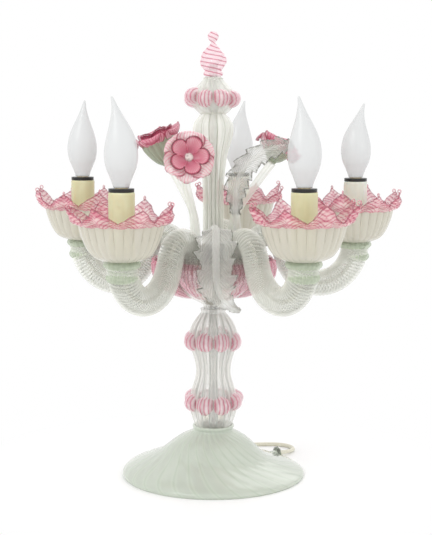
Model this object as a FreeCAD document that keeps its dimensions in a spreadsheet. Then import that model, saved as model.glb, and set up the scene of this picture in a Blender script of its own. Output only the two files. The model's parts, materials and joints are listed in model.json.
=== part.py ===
import FreeCAD, Part
import math
import os

import Sketcher

# A blown-glass candelabrum table lamp with five candle lights, millimetres.
# Origin: centre of the foot's underside, on the table. +Z up, -Y towards the viewer, +X right.

PARTS_FOLDER = "parts"
os.makedirs(PARTS_FOLDER, exist_ok=True)
doc = FreeCAD.newDocument("GlassLamp")

ARM_COUNT = 5
CUP_POINTS = 8
UP = FreeCAD.Vector(0, 0, 1)

# ---------------------------------------------------------------- driving dimensions
SIZES = (
    # foot: a hollow bell with a ground rim
    ("footRadius", 105.0),
    ("footRimHeight", 4.5),
    ("footWall", 5.0),
    ("footFlankRadius", 72.0),
    ("footFlankLevel", 19.0),
    ("footShoulderRadius", 40.0),
    ("footShoulderLevel", 42.0),
    ("footBendRadius", 32.0),
    ("footBendLevel", 46.5),
    ("footNeckRadius", 23.0),
    ("footNeckLevel", 51.5),
    ("footTop", 57.0),
    ("platePlay", 0.2),
    ("footPlateRadius", 24.0),
    ("footPlateThickness", 2.0),
    ("washerRadius", 12.5),
    ("washerThickness", 2.5),
    # the threaded tube that clamps the whole stack
    ("rodRadius", 5.0),
    ("rodBore", 3.2),
    ("rodBottom", 30.0),
    ("rodTop", 470.0),
    ("rodPlay", 0.25),
    ("nutAcrossCorners", 19.6),
    ("nutHeight", 6.0),
    # baluster stem
    ("stemFootRadius", 17.4),
    ("stemBellyRadius", 22.7),
    ("stemBellyLevel", 86.0),
    ("stemBellyEndRadius", 19.0),
    ("stemBellyEnd", 104.0),
    ("stemWaistRadius", 15.3),
    ("stemWaistLevel", 121.0),
    ("stemRiseRadius", 18.5),
    ("stemRiseLevel", 140.0),
    ("stemShoulderRadius", 23.5),
    ("stemShoulderLevel", 162.0),
    ("stemNeckStartRadius", 16.0),
    ("stemNeckStart", 180.0),
    ("stemNeckRadius", 9.8),
    ("stemNeckLevel", 189.0),
    ("stemTopRadius", 11.0),
    ("stemTop", 195.0),
    ("stemWall", 5.0),
    # frills laid round the stem, the bowl and the knob
    ("lowerFrillLevel", 86.0),
    ("lowerFrillRadius", 37.6),
    ("lowerFrillHalf", 9.0),
    ("upperFrillLevel", 157.0),
    ("upperFrillRadius", 35.7),
    ("upperFrillHalf", 10.0),
    ("topFrillLevel", 433.0),
    ("topFrillRadius", 35.0),
    ("topFrillHalf", 8.5),
    ("frillEdge", 2.4),
    ("frillScallop", 5.0),
    ("frillPlay", 0.4),
    # centre bowl and its lobed frill
    ("bowlFlankRadius", 50.0),
    ("bowlFlankLevel", 222.0),
    ("bowlRadius", 63.0),
    ("bowlTop", 256.0),
    ("bowlWall", 4.0),
    ("bowlFrillRadius", 80.0),
    ("bowlFrillLow", 216.0),
    ("bowlFrillHigh", 252.0),
    ("bowlFrillEdge", 3.0),
    # receiver: the turned metal hub that holds arms, flowers and leaves
    ("spoolRadius", 9.0),
    ("receiverLevel", 243.0),
    ("receiverRadius", 54.0),
    ("receiverThickness", 4.0),
    ("bossRadius", 13.0),
    ("bossTop", 268.0),
    ("armSocketWall", 1.4),
    ("armSocketHeight", 11.0),
    ("stemSocketReach", 30.0),
    ("stemSocketRadius", 5.2),
    ("stemSocketBore", 3.4),
    ("stemSocketHeight", 18.0),
    # arms: S-bent hollow glass tubes
    ("armBearing1", 237.6),
    ("armBearing2", 302.3),
    ("armBearing3", 17.0),
    ("armBearing4", 79.4),
    ("armBearing5", 153.5),
    ("armRootReach", 45.0),
    ("armRootTube", 10.0),
    ("armEndTube", 13.5),
    ("armBore", 6.0),
    ("armArchTop", 277.0),
    ("armArchRadius", 20.0),
    ("armLean", 20.0),
    ("armReach", 174.0),
    ("armEnd", 261.5),
    # collar, nipple, drip cup
    ("collarRadius", 19.0),
    ("collarThickness", 6.0),
    ("nippleLength", 26.0),
    ("nippleBelow", 10.0),
    ("cupBaseRadius", 18.0),
    ("cupBellyRadius", 33.0),
    ("cupBellyHeight", 12.0),
    ("cupRadius", 41.0),
    ("cupHeight", 36.0),
    ("cupWall", 3.0),
    ("cupFrillRadius", 59.0),
    ("cupFrillHeight", 58.0),
    ("cupFrillWall", 2.2),
    ("cupNotchRadius", 8.0),
    # candle: lampholder inside a sleeve, candle bulb on top
    ("holderBase", 270.5),
    ("holderRadius", 11.6),
    ("holderRingRadius", 13.2),
    ("sleeveRadius", 13.6),
    ("sleeveWall", 1.5),
    ("sleeveTop", 336.5),
    ("holderTop", 340.0),
    ("holderBore", 7.4),
    ("holderBoreDepth", 24.0),
    ("capRadius", 6.9),
    ("capLength", 22.0),
    ("capLift", 0.6),
    ("bulbNeckRadius", 8.6),
    ("bulbRadius", 17.4),
    ("bulbWidest", 32.0),
    ("bulbShoulderRadius", 10.0),
    ("bulbShoulder", 64.0),
    ("bulbTipRadius", 2.0),
    ("bulbHeight", 92.0),
    ("bulbWall", 1.0),
    # column above the receiver
    ("columnRadius", 11.5),
    ("columnFlareLevel", 335.0),
    ("columnMidRadius", 15.5),
    ("columnMidLevel", 370.0),
    ("columnShoulderRadius", 22.0),
    ("columnShoulderLevel", 397.0),
    ("columnTopRadius", 12.0),
    ("columnTop", 417.0),
    ("columnWall", 4.5),
    # knob and finial
    ("knobRadius", 22.0),
    ("knobLevel", 432.0),
    ("knobTopRadius", 8.0),
    ("knobTop", 456.0),
    ("finialRingRadius", 11.0),
    ("finialRingTop", 463.0),
    ("budRadius", 14.4),
    ("budLevel", 474.0),
    ("budNeckRadius", 2.2),
    ("budNeckLevel", 492.0),
    ("finialBallRadius", 6.2),
    ("finialTop", 506.5),
    # flowers and leaves that plug into the receiver
    ("flowerTube", 4.6),
    ("plugPin", 3.0),
    ("plugPinDepth", 14.0),
    ("bloomThroat", 7.0),
    ("petalReach", 31.0),
    ("petalRise", 14.0),
    ("petalThickness", 2.4),
    ("petalNotch", 7.5),
    ("innerCupReach", 20.0),
    ("innerCupRise", 20.0),
    ("eyeRadius", 5.5),
    ("leafThickness", 3.2),
    # mains lead: nick in the rim, strain relief, coil and plug
    ("cordDiameter", 4.6),
    ("exitBearing", 42.0),
    ("reliefRadius", 4.0),
    ("reliefTipRadius", 2.8),
    ("reliefStart", 84.0),
    ("reliefEnd", 113.0),
    ("reliefLevel", 4.3),
    ("nickHalf", 4.5),
    ("coilX", 0.0),
    ("coilY", 147.5),
    ("coilInner", 16.5),
    ("coilLowerOuter", 39.5),
    ("coilUpperOuter", 34.9),
    ("coilCorner", 1.4),
    ("plugX", -10.5),
    ("plugY", 199.5),
    ("plugLevel", 7.2),
    ("plugTurn", 342.0),
    ("plugBodyLength", 34.0),
    ("plugBodyWidth", 25.0),
    ("plugBodyThickness", 13.6),
    ("plugTailRadius", 4.4),
    ("plugPinRadius", 2.0),
    ("plugPinLength", 19.0),
    ("plugPinSpacing", 18.6),
    # wiring
    ("wireRadius", 2.2),
    ("feedLevel", 18.0),
    ("feedGap", 1.0),
)

sheet = doc.addObject("Spreadsheet::Sheet", "Sizes")
for row, (alias, value) in enumerate(SIZES, start=1):
    sheet.set("A%d" % row, alias)
    sheet.set("B%d" % row, str(value))
    sheet.setAlias("B%d" % row, alias)
doc.recompute()


class Size:
    """A number together with the sheet expression that gives it."""

    def __init__(self, number, text=None):
        self.number = float(number)
        self.text = text or repr(float(number))

    def join(self, other, sign, number):
        return Size(number, "(%s %s %s)" % (self.text, sign, other.text))

    def __add__(self, other):
        other = as_size(other)
        return self.join(other, "+", self.number + other.number)

    def __sub__(self, other):
        other = as_size(other)
        return self.join(other, "-", self.number - other.number)

    def __mul__(self, other):
        other = as_size(other)
        return self.join(other, "*", self.number * other.number)

    def __truediv__(self, other):
        other = as_size(other)
        return self.join(other, "/", self.number / other.number)

    def __neg__(self):
        return Size(-self.number, "(-%s)" % self.text)


def as_size(value):
    return value if isinstance(value, Size) else Size(value)


def size(alias):
    return Size(float(sheet.get(alias)), "Sizes.%s" % alias)


ZERO = Size(0, "0")


# ---------------------------------------------------------------- sketch helpers
def origin_plane(body, role):
    return next(f for f in body.Origin.OriginFeatures if f.Role == role)


def new_sketch(body, name, role="XZ_Plane", lift=None):
    sketch = body.newObject("Sketcher::SketchObject", name)
    sketch.AttachmentSupport = [(origin_plane(body, role), "")]
    sketch.MapMode = "FlatFace"
    if lift is not None:
        sketch.setExpression("AttachmentOffset.Base.z", lift.text)
    return sketch


def bind(sketch, kind, geometry, end, value):
    """Hold one end of an element at a coordinate that follows the sheet."""
    if value is ZERO:
        axis = -2 if kind == "DistanceX" else -1
        sketch.addConstraint(Sketcher.Constraint("PointOnObject", geometry, end, axis))
        return
    row = sketch.addConstraint(Sketcher.Constraint(kind, geometry, end, value.number))
    sketch.setExpression("Constraints[%d]" % row, value.text)


def pin(sketch, geometry, end, point):
    bind(sketch, "DistanceX", geometry, end, point[0])
    bind(sketch, "DistanceY", geometry, end, point[1])


def vector(point):
    return FreeCAD.Vector(point[0].number, point[1].number, 0)


def arc_through(first, middle, last):
    """Anticlockwise arc through three points, and whether it runs from first to last."""
    curve = Part.Arc(first, middle, last).toShape().Curve
    centre, radius = curve.Center, curve.Radius
    forward = curve.Axis.z > 0
    begin, end = (first, last) if forward else (last, first)
    start_angle = math.atan2(begin.y - centre.y, begin.x - centre.x)
    end_angle = math.atan2(end.y - centre.y, end.x - centre.x)
    if end_angle < start_angle:
        end_angle += 2 * math.pi
    return Part.ArcOfCircle(Part.Circle(centre, UP, radius), start_angle, end_angle), forward


def draw(sketch, start, steps):
    """Closed chain of lines and arcs. A step is a point, or (point on the arc, end point)."""
    start = tuple(as_size(v) for v in start)
    here = start
    previous = None
    for step in steps:
        curved = isinstance(step[0], tuple)
        end = step[1] if curved else step
        end = start if end == "start" else tuple(as_size(v) for v in end)
        if curved:
            middle = tuple(as_size(v) for v in step[0])
            edge, forward = arc_through(vector(here), vector(middle), vector(end))
        else:
            edge, forward = Part.LineSegment(vector(here), vector(end)), True
        index = sketch.addGeometry(edge, False)
        head, tail = (1, 2) if forward else (2, 1)
        if previous is None:
            first = (index, head)
            pin(sketch, index, head, here)
        else:
            sketch.addConstraint(Sketcher.Constraint("Coincident", *previous, index, head))
        if end is start:
            sketch.addConstraint(Sketcher.Constraint("Coincident", index, tail, *first))
        else:
            pin(sketch, index, tail, end)
        if curved:
            guide = sketch.addGeometry(Part.Point(vector(middle)), True)
            pin(sketch, guide, 1, middle)
            sketch.addConstraint(Sketcher.Constraint("PointOnObject", guide, 1, index))
        previous = (index, tail)
        here = end


def add_circle(sketch, centre, radius):
    centre = tuple(as_size(v) for v in centre)
    circle = Part.Circle(vector(centre), UP, radius.number)
    index = sketch.addGeometry(circle, False)
    pin(sketch, index, 3, centre)
    row = sketch.addConstraint(Sketcher.Constraint("Radius", index, radius.number))
    sketch.setExpression("Constraints[%d]" % row, radius.text)


# ---------------------------------------------------------------- feature helpers
subparts = {}


def keep(label, thing):
    """Register a finished sub-part under the name of its file."""
    thing.Label = label
    subparts[label] = thing
    return thing


def new_body(label):
    return doc.addObject("PartDesign::Body", label)


def turn(body, name, start, *steps):
    """Revolve an outline of (radius, level) points about the body's Z axis."""
    sketch = new_sketch(body, name + "Outline")
    draw(sketch, start, steps)
    turned = body.newObject("PartDesign::Revolution", name)
    turned.Profile = sketch
    turned.ReferenceAxis = (sketch, ["V_Axis"])
    turned.Angle = 360
    return turned


def turned_part(label, start, *steps):
    body = new_body(label)
    turn(body, label + "Turned", start, *steps)
    return keep(label, body)


def scallop(body, name, reach, radius, count, through):
    """Cut one round bite through the frill's edge and repeat it round the axis."""
    sketch = new_sketch(body, name + "Bite", "XY_Plane", as_size(through[0]))
    add_circle(sketch, (reach, ZERO), radius)
    bite = body.newObject("PartDesign::Pocket", name)
    bite.Profile = sketch
    bite.Type = "Length"
    bite.setExpression("Length", (as_size(through[1]) - through[0]).text)
    bite.Reversed = True
    doc.recompute()
    ring = body.newObject("PartDesign::PolarPattern", name + "Ring")
    ring.Originals = [bite]
    ring.Axis = (sketch, ["N_Axis"])
    ring.Angle = 360
    ring.Occurrences = count
    body.Tip = ring


def place(thing, x=None, y=None, z=None, bearing=None):
    """Bind a sub-part's Placement to the sheet; bearing turns it about Z."""
    if bearing is not None:
        thing.Placement = FreeCAD.Placement(FreeCAD.Vector(), FreeCAD.Rotation(UP, bearing.number))
        thing.setExpression("Placement.Rotation.Angle", bearing.text)
    for letter, value in (("x", x), ("y", y), ("z", z)):
        if value is not None:
            thing.setExpression("Placement.Base.%s" % letter, as_size(value).text)


def at_arm_end(thing, number, level):
    """Stand a sub-part that was drawn about Z on the axis of one candle."""
    bearing = size("armBearing%d" % number)
    reach = size("armReach")
    cosine = Size(math.cos(math.radians(bearing.number)), "cos(%s)" % bearing.text)
    sine = Size(math.sin(math.radians(bearing.number)), "sin(%s)" % bearing.text)
    place(thing, reach * cosine, reach * sine, level, bearing)


def cylinder(name, radius, height, level):
    solid = doc.addObject("Part::Cylinder", name)
    solid.setExpression("Radius", radius.text)
    solid.setExpression("Height", height.text)
    solid.setExpression("Placement.Base.z", as_size(level).text)
    return solid


def cut(name, base, tool):
    result = doc.addObject("Part::Cut", name)
    result.Base = base
    result.Tool = tool
    return result


def group(name, members):
    result = doc.addObject("Part::Compound", name)
    result.Links = members
    return result


def fuse(name, members):
    result = doc.addObject("Part::MultiFuse", name)
    result.Shapes = members
    return result


# ---------------------------------------------------------------- foot and stack hardware
rod_hole = size("rodRadius") + size("rodPlay")


def build_foot():
    wall = size("footWall")
    radius = size("footRadius")
    flank = (size("footFlankRadius"), size("footFlankLevel"))
    shoulder = (size("footShoulderRadius"), size("footShoulderLevel"))
    bend = (size("footBendRadius"), size("footBendLevel"))
    neck = (size("footNeckRadius"), size("footNeckLevel"))
    ceiling = size("footTop") - wall * 2.4
    body = new_body("foot")
    turn(
        body, "footBell",
        (radius - wall, ZERO),
        (radius, ZERO),
        (radius, size("footRimHeight")),
        (flank, shoulder),
        (bend, neck),
        (size("footNeckRadius"), size("footTop")),
        (rod_hole, size("footTop")),
        (rod_hole, ceiling),
        (size("footPlateRadius") + size("platePlay"), ceiling),
        (size("footShoulderRadius") - wall, size("footShoulderLevel") - wall * 1.5),
        ((flank[0], flank[1] - wall * 1.2), "start"),
    )
    half = size("nickHalf")
    outline = new_sketch(body, "nickOutline", "YZ_Plane", radius * 1.1)
    draw(outline, (-half, -half), ((half, -half), (half, half * 2), (-half, half * 2), "start"))
    doc.recompute()
    nick = body.newObject("PartDesign::Pocket", "nick")
    nick.Profile = outline
    nick.Type = "Length"
    nick.setExpression("Length", (radius * 1.1 - size("reliefStart") + size("platePlay")).text)
    place(body, bearing=size("exitBearing"))
    return keep("foot", body)


def build_stack_hardware():
    plate_level = size("footTop") - size("footWall") * 2.4 - size("footPlateThickness")
    turned_part(
        "foot_plate",
        (rod_hole, plate_level),
        (size("footPlateRadius"), plate_level),
        (size("footPlateRadius"), plate_level + size("footPlateThickness")),
        (rod_hole, plate_level + size("footPlateThickness")),
        "start",
    )
    turned_part(
        "stem_washer",
        (rod_hole, size("footTop")),
        (size("washerRadius"), size("footTop")),
        (size("washerRadius"), size("footTop") + size("washerThickness")),
        (rod_hole, size("footTop") + size("washerThickness")),
        "start",
    )
    turned_part(
        "central_rod",
        (size("rodBore"), size("rodBottom")),
        (size("rodRadius"), size("rodBottom")),
        (size("rodRadius"), size("rodTop")),
        (size("rodBore"), size("rodTop")),
        "start",
    )
    nuts = []
    seats = (
        plate_level - size("nutHeight"),
        size("bossTop"),
        size("columnTop") + size("washerThickness"),
    )
    for number, seat in enumerate(seats, start=1):
        blank = doc.addObject("Part::Prism", "nutBlank%d" % number)
        blank.Polygon = 6
        blank.setExpression("Circumradius", (size("nutAcrossCorners") / 2.0).text)
        blank.setExpression("Height", size("nutHeight").text)
        blank.setExpression("Placement.Base.z", seat.text)
        hole = cylinder("nutHole%d" % number, rod_hole, size("nutHeight"), seat)
        nuts.append(cut("nut%d" % number, blank, hole))
    keep("rod_nuts", group("rodNuts", nuts))


def build_stem():
    wall = size("stemWall")
    foot = size("footTop") + size("washerThickness")
    bore = size("rodRadius") + size("rodPlay") * 4.0
    turned_part(
        "stem",
        (bore, foot),
        (size("stemFootRadius"), foot),
        ((size("stemBellyRadius"), size("stemBellyLevel")),
         (size("stemBellyEndRadius"), size("stemBellyEnd"))),
        ((size("stemWaistRadius"), size("stemWaistLevel")),
         (size("stemRiseRadius"), size("stemRiseLevel"))),
        ((size("stemShoulderRadius"), size("stemShoulderLevel")),
         (size("stemNeckStartRadius"), size("stemNeckStart"))),
        (size("stemNeckRadius"), size("stemNeckLevel")),
        (size("stemTopRadius"), size("stemTop")),
        (bore, size("stemTop")),
        (bore, size("stemNeckStart")),
        (size("stemShoulderRadius") - wall * 1.6, size("stemShoulderLevel")),
        (size("stemWaistRadius") - wall, size("stemWaistLevel")),
        (size("stemBellyRadius") - wall * 1.6, size("stemBellyLevel")),
        "start",
    )


def build_frill(label, level, half, reach, seat):
    """A fluted collar: hollow seat on the glass, rounded scalloped edge."""
    edge = size("frillEdge")
    body = new_body(label)
    turn(
        body, label + "Collar",
        (seat, level - half),
        (seat + edge, level - half),
        (reach, level - edge / 2.0),
        (reach, level + edge / 2.0),
        (seat + edge, level + half),
        (seat, level + half),
        "start",
    )
    scallop(body, label + "Scallop", reach + size("frillScallop") / 2.0, size("frillScallop"),
            CUP_POINTS + 1, (level - half, level + half))
    return keep(label, body)


def build_bowl():
    wall = size("bowlWall")
    bottom = size("stemTop")
    radius = size("bowlRadius")
    flank = (size("bowlFlankRadius"), size("bowlFlankLevel"))
    turned_part(
        "bowl",
        (rod_hole, bottom),
        (size("stemTopRadius"), bottom),
        (flank, (radius, size("bowlTop"))),
        (radius - wall, size("bowlTop")),
        ((flank[0] - wall * 0.8, flank[1] + wall * 0.6), (size("stemTopRadius"), bottom + wall)),
        (rod_hole, bottom + wall),
        "start",
    )


def build_bowl_frill():
    low, high = size("bowlFrillLow"), size("bowlFrillHigh")
    edge, reach = size("bowlFrillEdge"), size("bowlFrillRadius")
    body = new_body("bowl_frill")
    turn(
        body, "bowlFrillSkirt",
        (size("bowlRadius"), low),
        (reach, low + edge * 3.0),
        (reach, high - edge * 4.0),
        (size("bowlRadius") + edge * 2.0, high),
        (size("bowlRadius") + size("platePlay"), high),
        (size("bowlRadius") + size("platePlay"), high - edge),
        (size("bowlRadius") + edge, high - edge),
        (reach - edge, high - edge * 4.5),
        (reach - edge, low + edge * 4.0),
        (size("bowlRadius"), low + edge * 1.2),
        "start",
    )
    scallop(body, "bowlFrillScallop", reach + edge, size("frillScallop") * 1.6,
            CUP_POINTS, (low, high))
    return keep("bowl_frill", body)


# ---------------------------------------------------------------- receiver hub
flower_bearings = {"flower_front": -135.0, "flower_left": 130.0, "flower_right": 48.0}
leaf_bearings = {"leaf_front": -90.0, "leaf_right": -20.0}


def bearing_point(reach, bearing):
    """X and Y of a point at this reach and bearing, both bound to the sheet."""
    angle = math.radians(bearing.number)
    return (
        reach * Size(math.cos(angle), "cos(%s)" % bearing.text),
        reach * Size(math.sin(angle), "sin(%s)" % bearing.text),
    )


def build_receiver():
    """The turned hub with a way for each arm's lead, and the sockets that stand on it."""
    level, thick = size("receiverLevel"), size("receiverThickness")
    hub = new_body("arm_receiver")
    turn(
        hub, "receiverTurned",
        (rod_hole, size("stemTop") + size("bowlWall")),
        (size("spoolRadius"), size("stemTop") + size("bowlWall")),
        (size("spoolRadius"), level),
        (size("receiverRadius"), level),
        (size("receiverRadius"), level + thick),
        (size("bossRadius"), level + thick),
        (size("bossRadius"), size("bossTop")),
        (rod_hole, size("bossTop")),
        "start",
    )
    ways = new_sketch(hub, "leadWays", "XY_Plane", level)
    for number in range(1, ARM_COUNT + 1):
        centre = bearing_point(size("armRootReach"), size("armBearing%d" % number))
        add_circle(ways, centre, size("armBore"))
    doc.recompute()
    drilled = hub.newObject("PartDesign::Pocket", "drilledWays")
    drilled.Profile = ways
    drilled.Type = "Length"
    drilled.setExpression("Length", thick.text)
    drilled.Reversed = True
    keep("arm_receiver", hub)

    seat = level + thick
    arm_bearings = {"arm%d" % n: size("armBearing%d" % n) for n in range(1, ARM_COUNT + 1)}
    stalk_bearings = {n: Size(b) for n, b in {**flower_bearings, **leaf_bearings}.items()}
    arm_play = size("armRootTube") + size("platePlay")
    arm_outer = size("armRootTube") + size("armSocketWall")
    keep("arm_sockets", build_sockets("armSockets", arm_bearings, size("armRootReach"),
                                      arm_outer, arm_play, size("armSocketHeight"), seat))
    keep("stem_sockets", build_sockets("stemSockets", stalk_bearings, size("stemSocketReach"),
                                       size("stemSocketRadius"), size("stemSocketBore"),
                                       size("stemSocketHeight"), seat))


def build_sockets(label, bearings, reach, outer, inner, height, seat):
    """Short upright tubes on the hub, one at each bearing."""
    tubes = []
    for name, bearing in bearings.items():
        post = cylinder(name + "Post", outer, height, seat)
        hole = cylinder(name + "Hole", inner, height, seat)
        for solid in (post, hole):
            place(solid, *bearing_point(reach, bearing))
        tubes.append(cut(name + "Socket", post, hole))
    return group(label, tubes)


# ---------------------------------------------------------------- arms and wiring
def arm_path(sketch, root_level):
    """Up, over the arch, down a leaning leg and round to an upright end."""
    lean = math.radians(size("armLean").number)
    root, reach = size("armRootReach").number, size("armReach").number
    arch = size("armArchRadius").number
    spring = size("armArchTop").number - arch
    centre = (root + arch, spring)
    leave = (centre[0] + arch * math.cos(lean), centre[1] + arch * math.sin(lean))
    slope = math.tan(lean)
    # the bend touches the leg's line and the candle's axis, where it ends upright
    end = size("armEnd").number
    span = reach - leave[0] - (leave[1] - end) * slope
    bend = span / (1 + math.cos(lean) + math.sin(lean) * slope)
    middle = (reach - bend, end)
    meet = (middle[0] - bend * math.cos(lean), middle[1] - bend * math.sin(lean))
    start = FreeCAD.Vector(root, root_level.number, 0)
    crown = FreeCAD.Vector(centre[0], centre[1] + arch, 0)
    spring_point = FreeCAD.Vector(root, spring, 0)
    leave_point = FreeCAD.Vector(*leave, 0)
    meet_point = FreeCAD.Vector(*meet, 0)
    low_point = FreeCAD.Vector(middle[0], end - bend, 0)
    rise_point = FreeCAD.Vector(reach, end, 0)
    edges = (
        Part.LineSegment(start, spring_point),
        arc_through(spring_point, crown, leave_point)[0],
        Part.LineSegment(leave_point, meet_point),
        arc_through(meet_point, low_point, rise_point)[0],
    )
    for edge in edges:
        sketch.addGeometry(edge, False)
    # ends of each piece in drawing order: arcs are stored anticlockwise, so the arch runs backwards
    ends = ((1, 2), (2, 1), (1, 2), (1, 2))
    for index in range(len(edges) - 1):
        sketch.addConstraint(Sketcher.Constraint(
            "Tangent", index, ends[index][1], index + 1, ends[index + 1][0]))
    pin(sketch, 0, 1, (size("armRootReach"), root_level))
    sketch.addConstraint(Sketcher.Constraint("Vertical", 0))
    row = sketch.addConstraint(Sketcher.Constraint("Radius", 1, arch))
    sketch.setExpression("Constraints[%d]" % row, size("armArchRadius").text)
    bind(sketch, "DistanceY", 1, 3, size("armArchTop") - size("armArchRadius"))
    row = sketch.addConstraint(Sketcher.Constraint("Angle", 2, math.radians(-90) + lean))
    sketch.setExpression("Constraints[%d]" % row, "(%s - 90) * 1 deg" % size("armLean").text)
    # the bend ends level with its own centre, so it leaves upright on the candle's axis
    pin(sketch, 3, 2, (size("armReach"), size("armEnd")))
    sketch.addConstraint(Sketcher.Constraint("Horizontal", 3, 3, 3, 2))


def build_tube(name, root_level, outer, end_outer=None, bore=None):
    """Sweep a tube along the arm's line; it may widen towards its end."""
    body = new_body(name)
    path = new_sketch(body, name + "Path")
    arm_path(path, root_level)
    spine = (path, ["Edge%d" % n for n in range(1, 5)])
    ring = new_sketch(body, name + "Root", "XY_Plane", root_level)
    add_circle(ring, (size("armRootReach"), ZERO), outer)
    pipe = body.newObject("PartDesign::AdditivePipe", name + "Pipe")
    pipe.Profile = ring
    pipe.Spine = spine
    if end_outer is not None:
        wide = new_sketch(body, name + "End", "XY_Plane", size("armEnd"))
        add_circle(wide, (size("armReach"), ZERO), end_outer)
        pipe.Transformation = "Multisection"
        pipe.Sections = [(wide, [""])]
    if bore is not None:
        hole = new_sketch(body, name + "BoreRoot", "XY_Plane", root_level)
        add_circle(hole, (size("armRootReach"), ZERO), bore)
        drill = body.newObject("PartDesign::SubtractivePipe", name + "Bore")
        drill.Profile = hole
        drill.Spine = spine
    return body


def build_arms():
    root = size("receiverLevel") + size("receiverThickness")
    for number in range(1, ARM_COUNT + 1):
        arm = build_tube("arm_%d" % number, root,
                         size("armRootTube"), size("armEndTube"), size("armBore"))
        place(arm, bearing=size("armBearing%d" % number))
        keep("arm_%d" % number, arm)


def build_wiring():
    """One lead through each arm, and the feed from the strain relief to the rod."""
    root = size("receiverLevel") - size("armBore")
    leads = []
    for number in range(1, ARM_COUNT + 1):
        lead = build_tube("lead%d" % number, root, size("wireRadius"))
        place(lead, bearing=size("armBearing%d" % number))
        leads.append(lead)
    radius = size("wireRadius").number
    bearing = math.radians(size("exitBearing").number)
    outward = FreeCAD.Vector(math.cos(bearing), math.sin(bearing), 0)
    start_reach = size("reliefStart").number - size("feedGap").number
    rise = UP * size("feedLevel").number
    start = outward * start_reach + UP * size("reliefLevel").number
    top = UP * (size("rodBottom").number - size("platePlay").number)
    feed = doc.addObject("Part::Feature", "feed")
    feed.Shape = rounded_tube([start, outward * (start_reach / 2) + rise, rise, top], radius)
    leads.append(feed)
    keep("wiring", group("wiringLoom", leads))


def rounded_wire(points):
    """Straight runs joined by tangent arcs, as large as the two runs allow; returns radii too."""
    edges = []
    radii = []
    here = points[0]
    for before, corner, after in zip(points, points[1:], points[2:]):
        inward, outward = corner - before, after - corner
        half_turn = inward.getAngle(outward) / 2
        radius = 0.45 * min(inward.Length, outward.Length) / math.tan(half_turn)
        trim = radius * math.tan(half_turn)
        inward.normalize()
        outward.normalize()
        first, last = corner - inward * trim, corner + outward * trim
        bisector = (outward - inward).normalize()
        centre = corner + bisector * (radius / math.cos(half_turn))
        middle = centre - bisector * radius
        edges.append(Part.LineSegment(here, first).toShape())
        edges.append(Part.Arc(first, middle, last).toShape())
        radii.append(radius)
        here = last
    edges.append(Part.LineSegment(here, points[-1]).toShape())
    return Part.Wire(edges), radii


def rounded_tube(points, radius):
    wire, _ = rounded_wire(points)
    section = Part.Wire(Part.Circle(points[0], points[1] - points[0], radius).toShape())
    return wire.makePipeShell([section], True, False)


# ---------------------------------------------------------------- one candle
def build_candle_parts():
    cup_base = size("armEnd") + size("collarThickness")
    wall = size("cupWall")
    collars = []
    nipples = []
    nipple_level = size("armEnd") - size("nippleBelow")
    for number in range(1, ARM_COUNT + 1):
        collar = new_body("collar%d" % number)
        turn(
            collar, "collarTurned%d" % number,
            (rod_hole, ZERO),
            (size("armEndTube"), ZERO),
            (size("collarRadius"), size("collarThickness") * 0.7),
            (size("cupBaseRadius") - wall, size("collarThickness")),
            (rod_hole, size("collarThickness")),
            "start",
        )
        at_arm_end(collar, number, size("armEnd"))
        collars.append(collar)

        nipple = new_body("nipple%d" % number)
        turn(
            nipple, "nippleTurned%d" % number,
            (size("rodBore"), ZERO),
            (size("rodRadius"), ZERO),
            (size("rodRadius"), size("nippleLength")),
            (size("rodBore"), size("nippleLength")),
            "start",
        )
        at_arm_end(nipple, number, nipple_level)
        nipples.append(nipple)

        build_cup(number, cup_base)
        build_lampholder(number)
        build_sleeve(number)
        build_bulb(number)
    keep("arm_collars", group("armCollars", collars))
    keep("holder_nipples", group("holderNipples", nipples))


def build_cup(number, base):
    wall, frill = size("cupWall"), size("cupFrillWall")
    body = new_body("drip_cup_%d" % number)
    belly = (size("cupBellyRadius"), size("cupBellyHeight"))
    lip = (size("cupRadius"), size("cupHeight"))
    rim = (size("cupFrillRadius"), size("cupFrillHeight"))
    turn(
        body, "cupTurned%d" % number,
        (rod_hole, ZERO),
        (size("cupBaseRadius"), ZERO),
        (belly, lip),
        rim,
        (rim[0] - frill, rim[1] + frill * 0.5),
        (lip[0] - wall, lip[1] + frill),
        ((belly[0] - wall * 0.8, belly[1] + wall * 0.5), (size("cupBaseRadius") - wall, wall)),
        (rod_hole, wall),
        "start",
    )
    scallop(body, "cupPoints%d" % number, rim[0], size("cupNotchRadius"), CUP_POINTS,
            (lip[1] + frill * 4.0, rim[1] + wall))
    at_arm_end(body, number, base)
    keep("drip_cup_%d" % number, body)


def build_lampholder(number):
    top = size("holderTop") - size("holderBase")
    ring = size("sleeveTop") - size("holderBase")
    floor = top - size("holderBoreDepth")
    thread_top = size("armEnd") - size("nippleBelow") + size("nippleLength") - size("holderBase")
    body = new_body("lampholder_%d" % number)
    turn(
        body, "holderTurned%d" % number,
        (rod_hole, ZERO),
        (size("holderRadius"), ZERO),
        (size("holderRadius"), ring),
        (size("holderRingRadius"), ring),
        (size("holderRingRadius"), top),
        (size("holderBore"), top),
        (size("holderBore"), floor),
        (ZERO, floor),
        (ZERO, thread_top),
        (rod_hole, thread_top),
        "start",
    )
    at_arm_end(body, number, size("holderBase"))
    keep("lampholder_%d" % number, body)


def build_sleeve(number):
    height = size("sleeveTop") - size("holderBase")
    inner = size("sleeveRadius") - size("sleeveWall")
    body = new_body("candle_sleeve_%d" % number)
    turn(
        body, "sleeveTurned%d" % number,
        (inner, ZERO),
        (size("sleeveRadius"), ZERO),
        (size("sleeveRadius"), height),
        (inner, height),
        "start",
    )
    at_arm_end(body, number, size("holderBase"))
    keep("candle_sleeve_%d" % number, body)


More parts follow.
